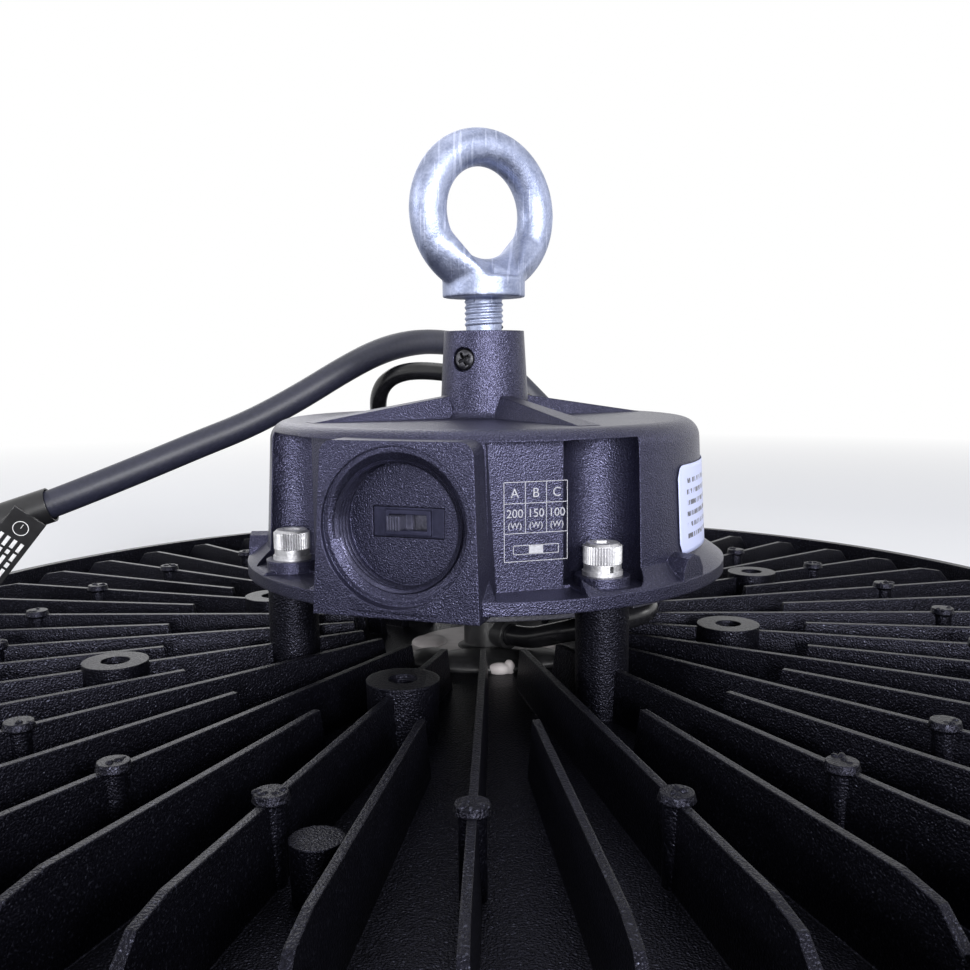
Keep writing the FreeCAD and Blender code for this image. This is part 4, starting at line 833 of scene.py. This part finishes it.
def addDrumLabel(made):
    bm = bmesh.new()
    bmesh.ops.create_grid(bm, x_segments=made["columns"], y_segments=made["rows"], size=0.5)
    uv = bm.loops.layers.uv.new("print")
    tall = made["high"] - made["low"]
    wide = math.radians(made["to"] - made["from"]) * made["radius"]
    corner = made["corner"]
    for face in bm.faces:
        for loop in face.loops:
            loop[uv].uv = (loop.vert.co.x + 0.5, loop.vert.co.y + 0.5)
    for spot in bm.verts:
        across, up = (spot.co.x + 0.5) * wide, (spot.co.y + 0.5) * tall
        inset = max(0.0, corner - min(across, wide - across))
        lift = corner - math.sqrt(corner ** 2 - inset ** 2)   # the round corners
        height = made["low"] + min(max(up, lift), tall - lift)
        radius = made["radius"] - made["taper"] * (height - made["foot"])
        angle = made["from"] + math.degrees(across / made["radius"])
        spot.co = onAzimuth(angle, radius, height)
    label = meshObject("drumLabel", bm, drumLabelMaterial(made))
    thick = label.modifiers.new("thickness", "SOLIDIFY")
    thick.thickness = made["thick"] * mm
    thick.offset = 0.0
    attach(label, "lamp")


addDrumLabel(drumLabel)


# printed table on the flat beside the port
powerTable = {
    "azimuth": -72.0, "face": 53.42, "left": -11.9, "right": 3.2,
    "rows": (77.2, 72.4, 65.6, 59.2), "columns": 3, "line": 0.16, "raise": 0.03,
    "heads": ("A", "B", "C"), "values": ("200", "150", "100"), "unit": "(W)",
    "sizes": (3.0, 2.7, 2.0), "baselines": (73.7, 69.2, 66.7),
    "switchHalf": 5.4, "knobHalf": 1.7, "switchUp": (1.6, 3.6),
}


def addPowerTable(made):
    face = basisAt(onAzimuth(made["azimuth"], made["face"], 0.0),
                   outwardAt(made["azimuth"]))
    bm = bmesh.new()

    def bar(x0, x1, y0, y1):
        size = Matrix.Diagonal(((x1 - x0) * mm, (y1 - y0) * mm, made["raise"] * mm, 1))
        middle = Matrix.Translation(Vector(((x0 + x1) / 2, (y0 + y1) / 2, 0)) * mm)
        bmesh.ops.create_cube(bm, size=1.0, matrix=face @ middle @ size)

    line = made["line"]
    step = (made["right"] - made["left"]) / made["columns"]
    for height in made["rows"]:
        bar(made["left"], made["right"], height - line / 2, height + line / 2)
    for number in range(made["columns"] + 1):
        spot = made["left"] + step * number
        bar(spot - line / 2, spot + line / 2, made["rows"][2], made["rows"][0])
    for spot in (made["left"], made["right"]):
        bar(spot - line / 2, spot + line / 2, made["rows"][3], made["rows"][2])
    middle = (made["left"] + made["right"]) / 2
    low, high = (made["rows"][3] + rise for rise in made["switchUp"])
    ends = (middle - made["switchHalf"], middle + made["switchHalf"])
    for y in (low, high):
        bar(*ends, y - line / 2, y + line / 2)
    for x in ends:
        bar(x - line / 2, x + line / 2, low, high)
    bar(middle - made["knobHalf"], middle + made["knobHalf"], low, high)
    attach(meshObject("tableLines", bm, finishes["printGrey"], smooth=False), "lamp")
    words = bmesh.new()
    for column in range(made["columns"]):
        spot = made["left"] + step * (column + 0.5)
        texts = (made["heads"][column], made["values"][column], made["unit"])
        for text, size, height in zip(texts, made["sizes"], made["baselines"]):
            curve = bpy.data.curves.new("tableText", "FONT")
            curve.body = text
            curve.size = size * mm
            curve.align_x = "CENTER"
            curve.extrude = made["raise"] * mm / 2
            holder = bpy.data.objects.new("tableText", curve)
            flat = bpy.data.meshes.new_from_object(holder)
            flat.transform(face @ Matrix.Translation(Vector((spot, height, 0)) * mm))
            words.from_mesh(flat)
            bpy.data.objects.remove(holder)
            bpy.data.curves.remove(curve)
            bpy.data.meshes.remove(flat)
    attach(meshObject("tableWords", words, finishes["printGrey"], smooth=False), "lamp")


addPowerTable(powerTable)
print("labels made")


# floor, world and lamps: a lamp's name, place, aim, size and power
surroundings = {
    "floorSize": 6.0, "floorColour": (0.9, 0.9, 0.91), "floorRough": 0.7,
    "floorDrop": 0.0005, "fade": (0.5, 1.2),
    "worldLight": (0.84, 0.88, 1.0), "worldStrength": 0.3,
    "lamps": (
        ("overhead", (0.0, 0.2, 1.4), (0, 0, 0.05), 1.0, 3.5),
        ("back", (-0.5, 1.3, 0.8), (0, 0, 0.06), 0.9, 3.5),
        ("key", (0.7, -1.05, 0.5), (0, 0, 0.07), 0.3, 13.0),
        ("right", (1.3, 0.25, 0.5), (0, 0, 0.06), 0.4, 1.5),
        ("left", (-1.2, -0.4, 0.5), (0, 0, 0.06), 0.3, 6.0),
        ("front", (0.08, -1.38, 0.28), (0, 0, 0.09), 0.2, 15.0),
    ),
}


def whiteSeen(tree):
    # the white background shows to the camera, in gloss and through glass
    path = tree.nodes.new("ShaderNodeLightPath")
    shiny = mathNode(tree, "MAXIMUM", path.outputs["Is Glossy Ray"],
                     path.outputs["Is Transmission Ray"])
    return mathNode(tree, "MAXIMUM", path.outputs["Is Camera Ray"], shiny)


def addSurroundings(made):
    bm = bmesh.new()
    bmesh.ops.create_grid(bm, x_segments=1, y_segments=1, size=made["floorSize"] / 2)
    bmesh.ops.translate(bm, verts=bm.verts, vec=(0, 0, -made["floorDrop"]))
    material, tree, shader = newMaterial("floorPaper", Base_Color=made["floorColour"],
                                         Roughness=made["floorRough"])
    glow = tree.nodes.new("ShaderNodeEmission")
    glow.inputs["Color"].default_value = (1, 1, 1, 1)
    shown = tree.nodes.new("ShaderNodeMixShader")
    far = tree.nodes.new("ShaderNodeTexCoord")
    length = tree.nodes.new("ShaderNodeVectorMath")
    length.operation = "LENGTH"
    link(tree, far.outputs["Object"], length.inputs[0])
    fade = rangeNode(tree, length.outputs["Value"], *made["fade"])
    seen = mathNode(tree, "MULTIPLY", whiteSeen(tree), fade)
    link(tree, seen, shown.inputs[0])
    link(tree, shader.outputs[0], shown.inputs[1])
    link(tree, glow.outputs[0], shown.inputs[2])
    link(tree, shown.outputs[0], tree.nodes["Material Output"].inputs["Surface"])
    mesh = bpy.data.meshes.new("floor")
    bm.to_mesh(mesh)
    bm.free()
    newObject("floor", mesh, material)
    world = bpy.data.worlds.new("studio")
    scene.world = world
    world.use_nodes = True
    nodes = world.node_tree.nodes
    light = nodes["Background"]
    light.inputs["Color"].default_value = (*made["worldLight"], 1)
    light.inputs["Strength"].default_value = made["worldStrength"]
    white = nodes.new("ShaderNodeBackground")
    white.inputs["Color"].default_value = (1, 1, 1, 1)
    shown = nodes.new("ShaderNodeMixShader")
    link(world.node_tree, whiteSeen(world.node_tree), shown.inputs[0])
    link(world.node_tree, light.outputs[0], shown.inputs[1])
    link(world.node_tree, white.outputs[0], shown.inputs[2])
    link(world.node_tree, shown.outputs[0], nodes["World Output"].inputs["Surface"])
    for name, place, aim, size, power in made["lamps"]:
        data = bpy.data.lights.new(name, "AREA")
        data.shape = "DISK"
        data.size = size
        data.energy = power
        lamp = bpy.data.objects.new(name, data)
        scene.collection.objects.link(lamp)
        lamp.location = place
        lamp.rotation_euler = (Vector(place) - Vector(aim)).to_track_quat("Z", "Y").to_euler()


addSurroundings(surroundings)
scene.view_settings.view_transform = "Standard"
print("studio set")
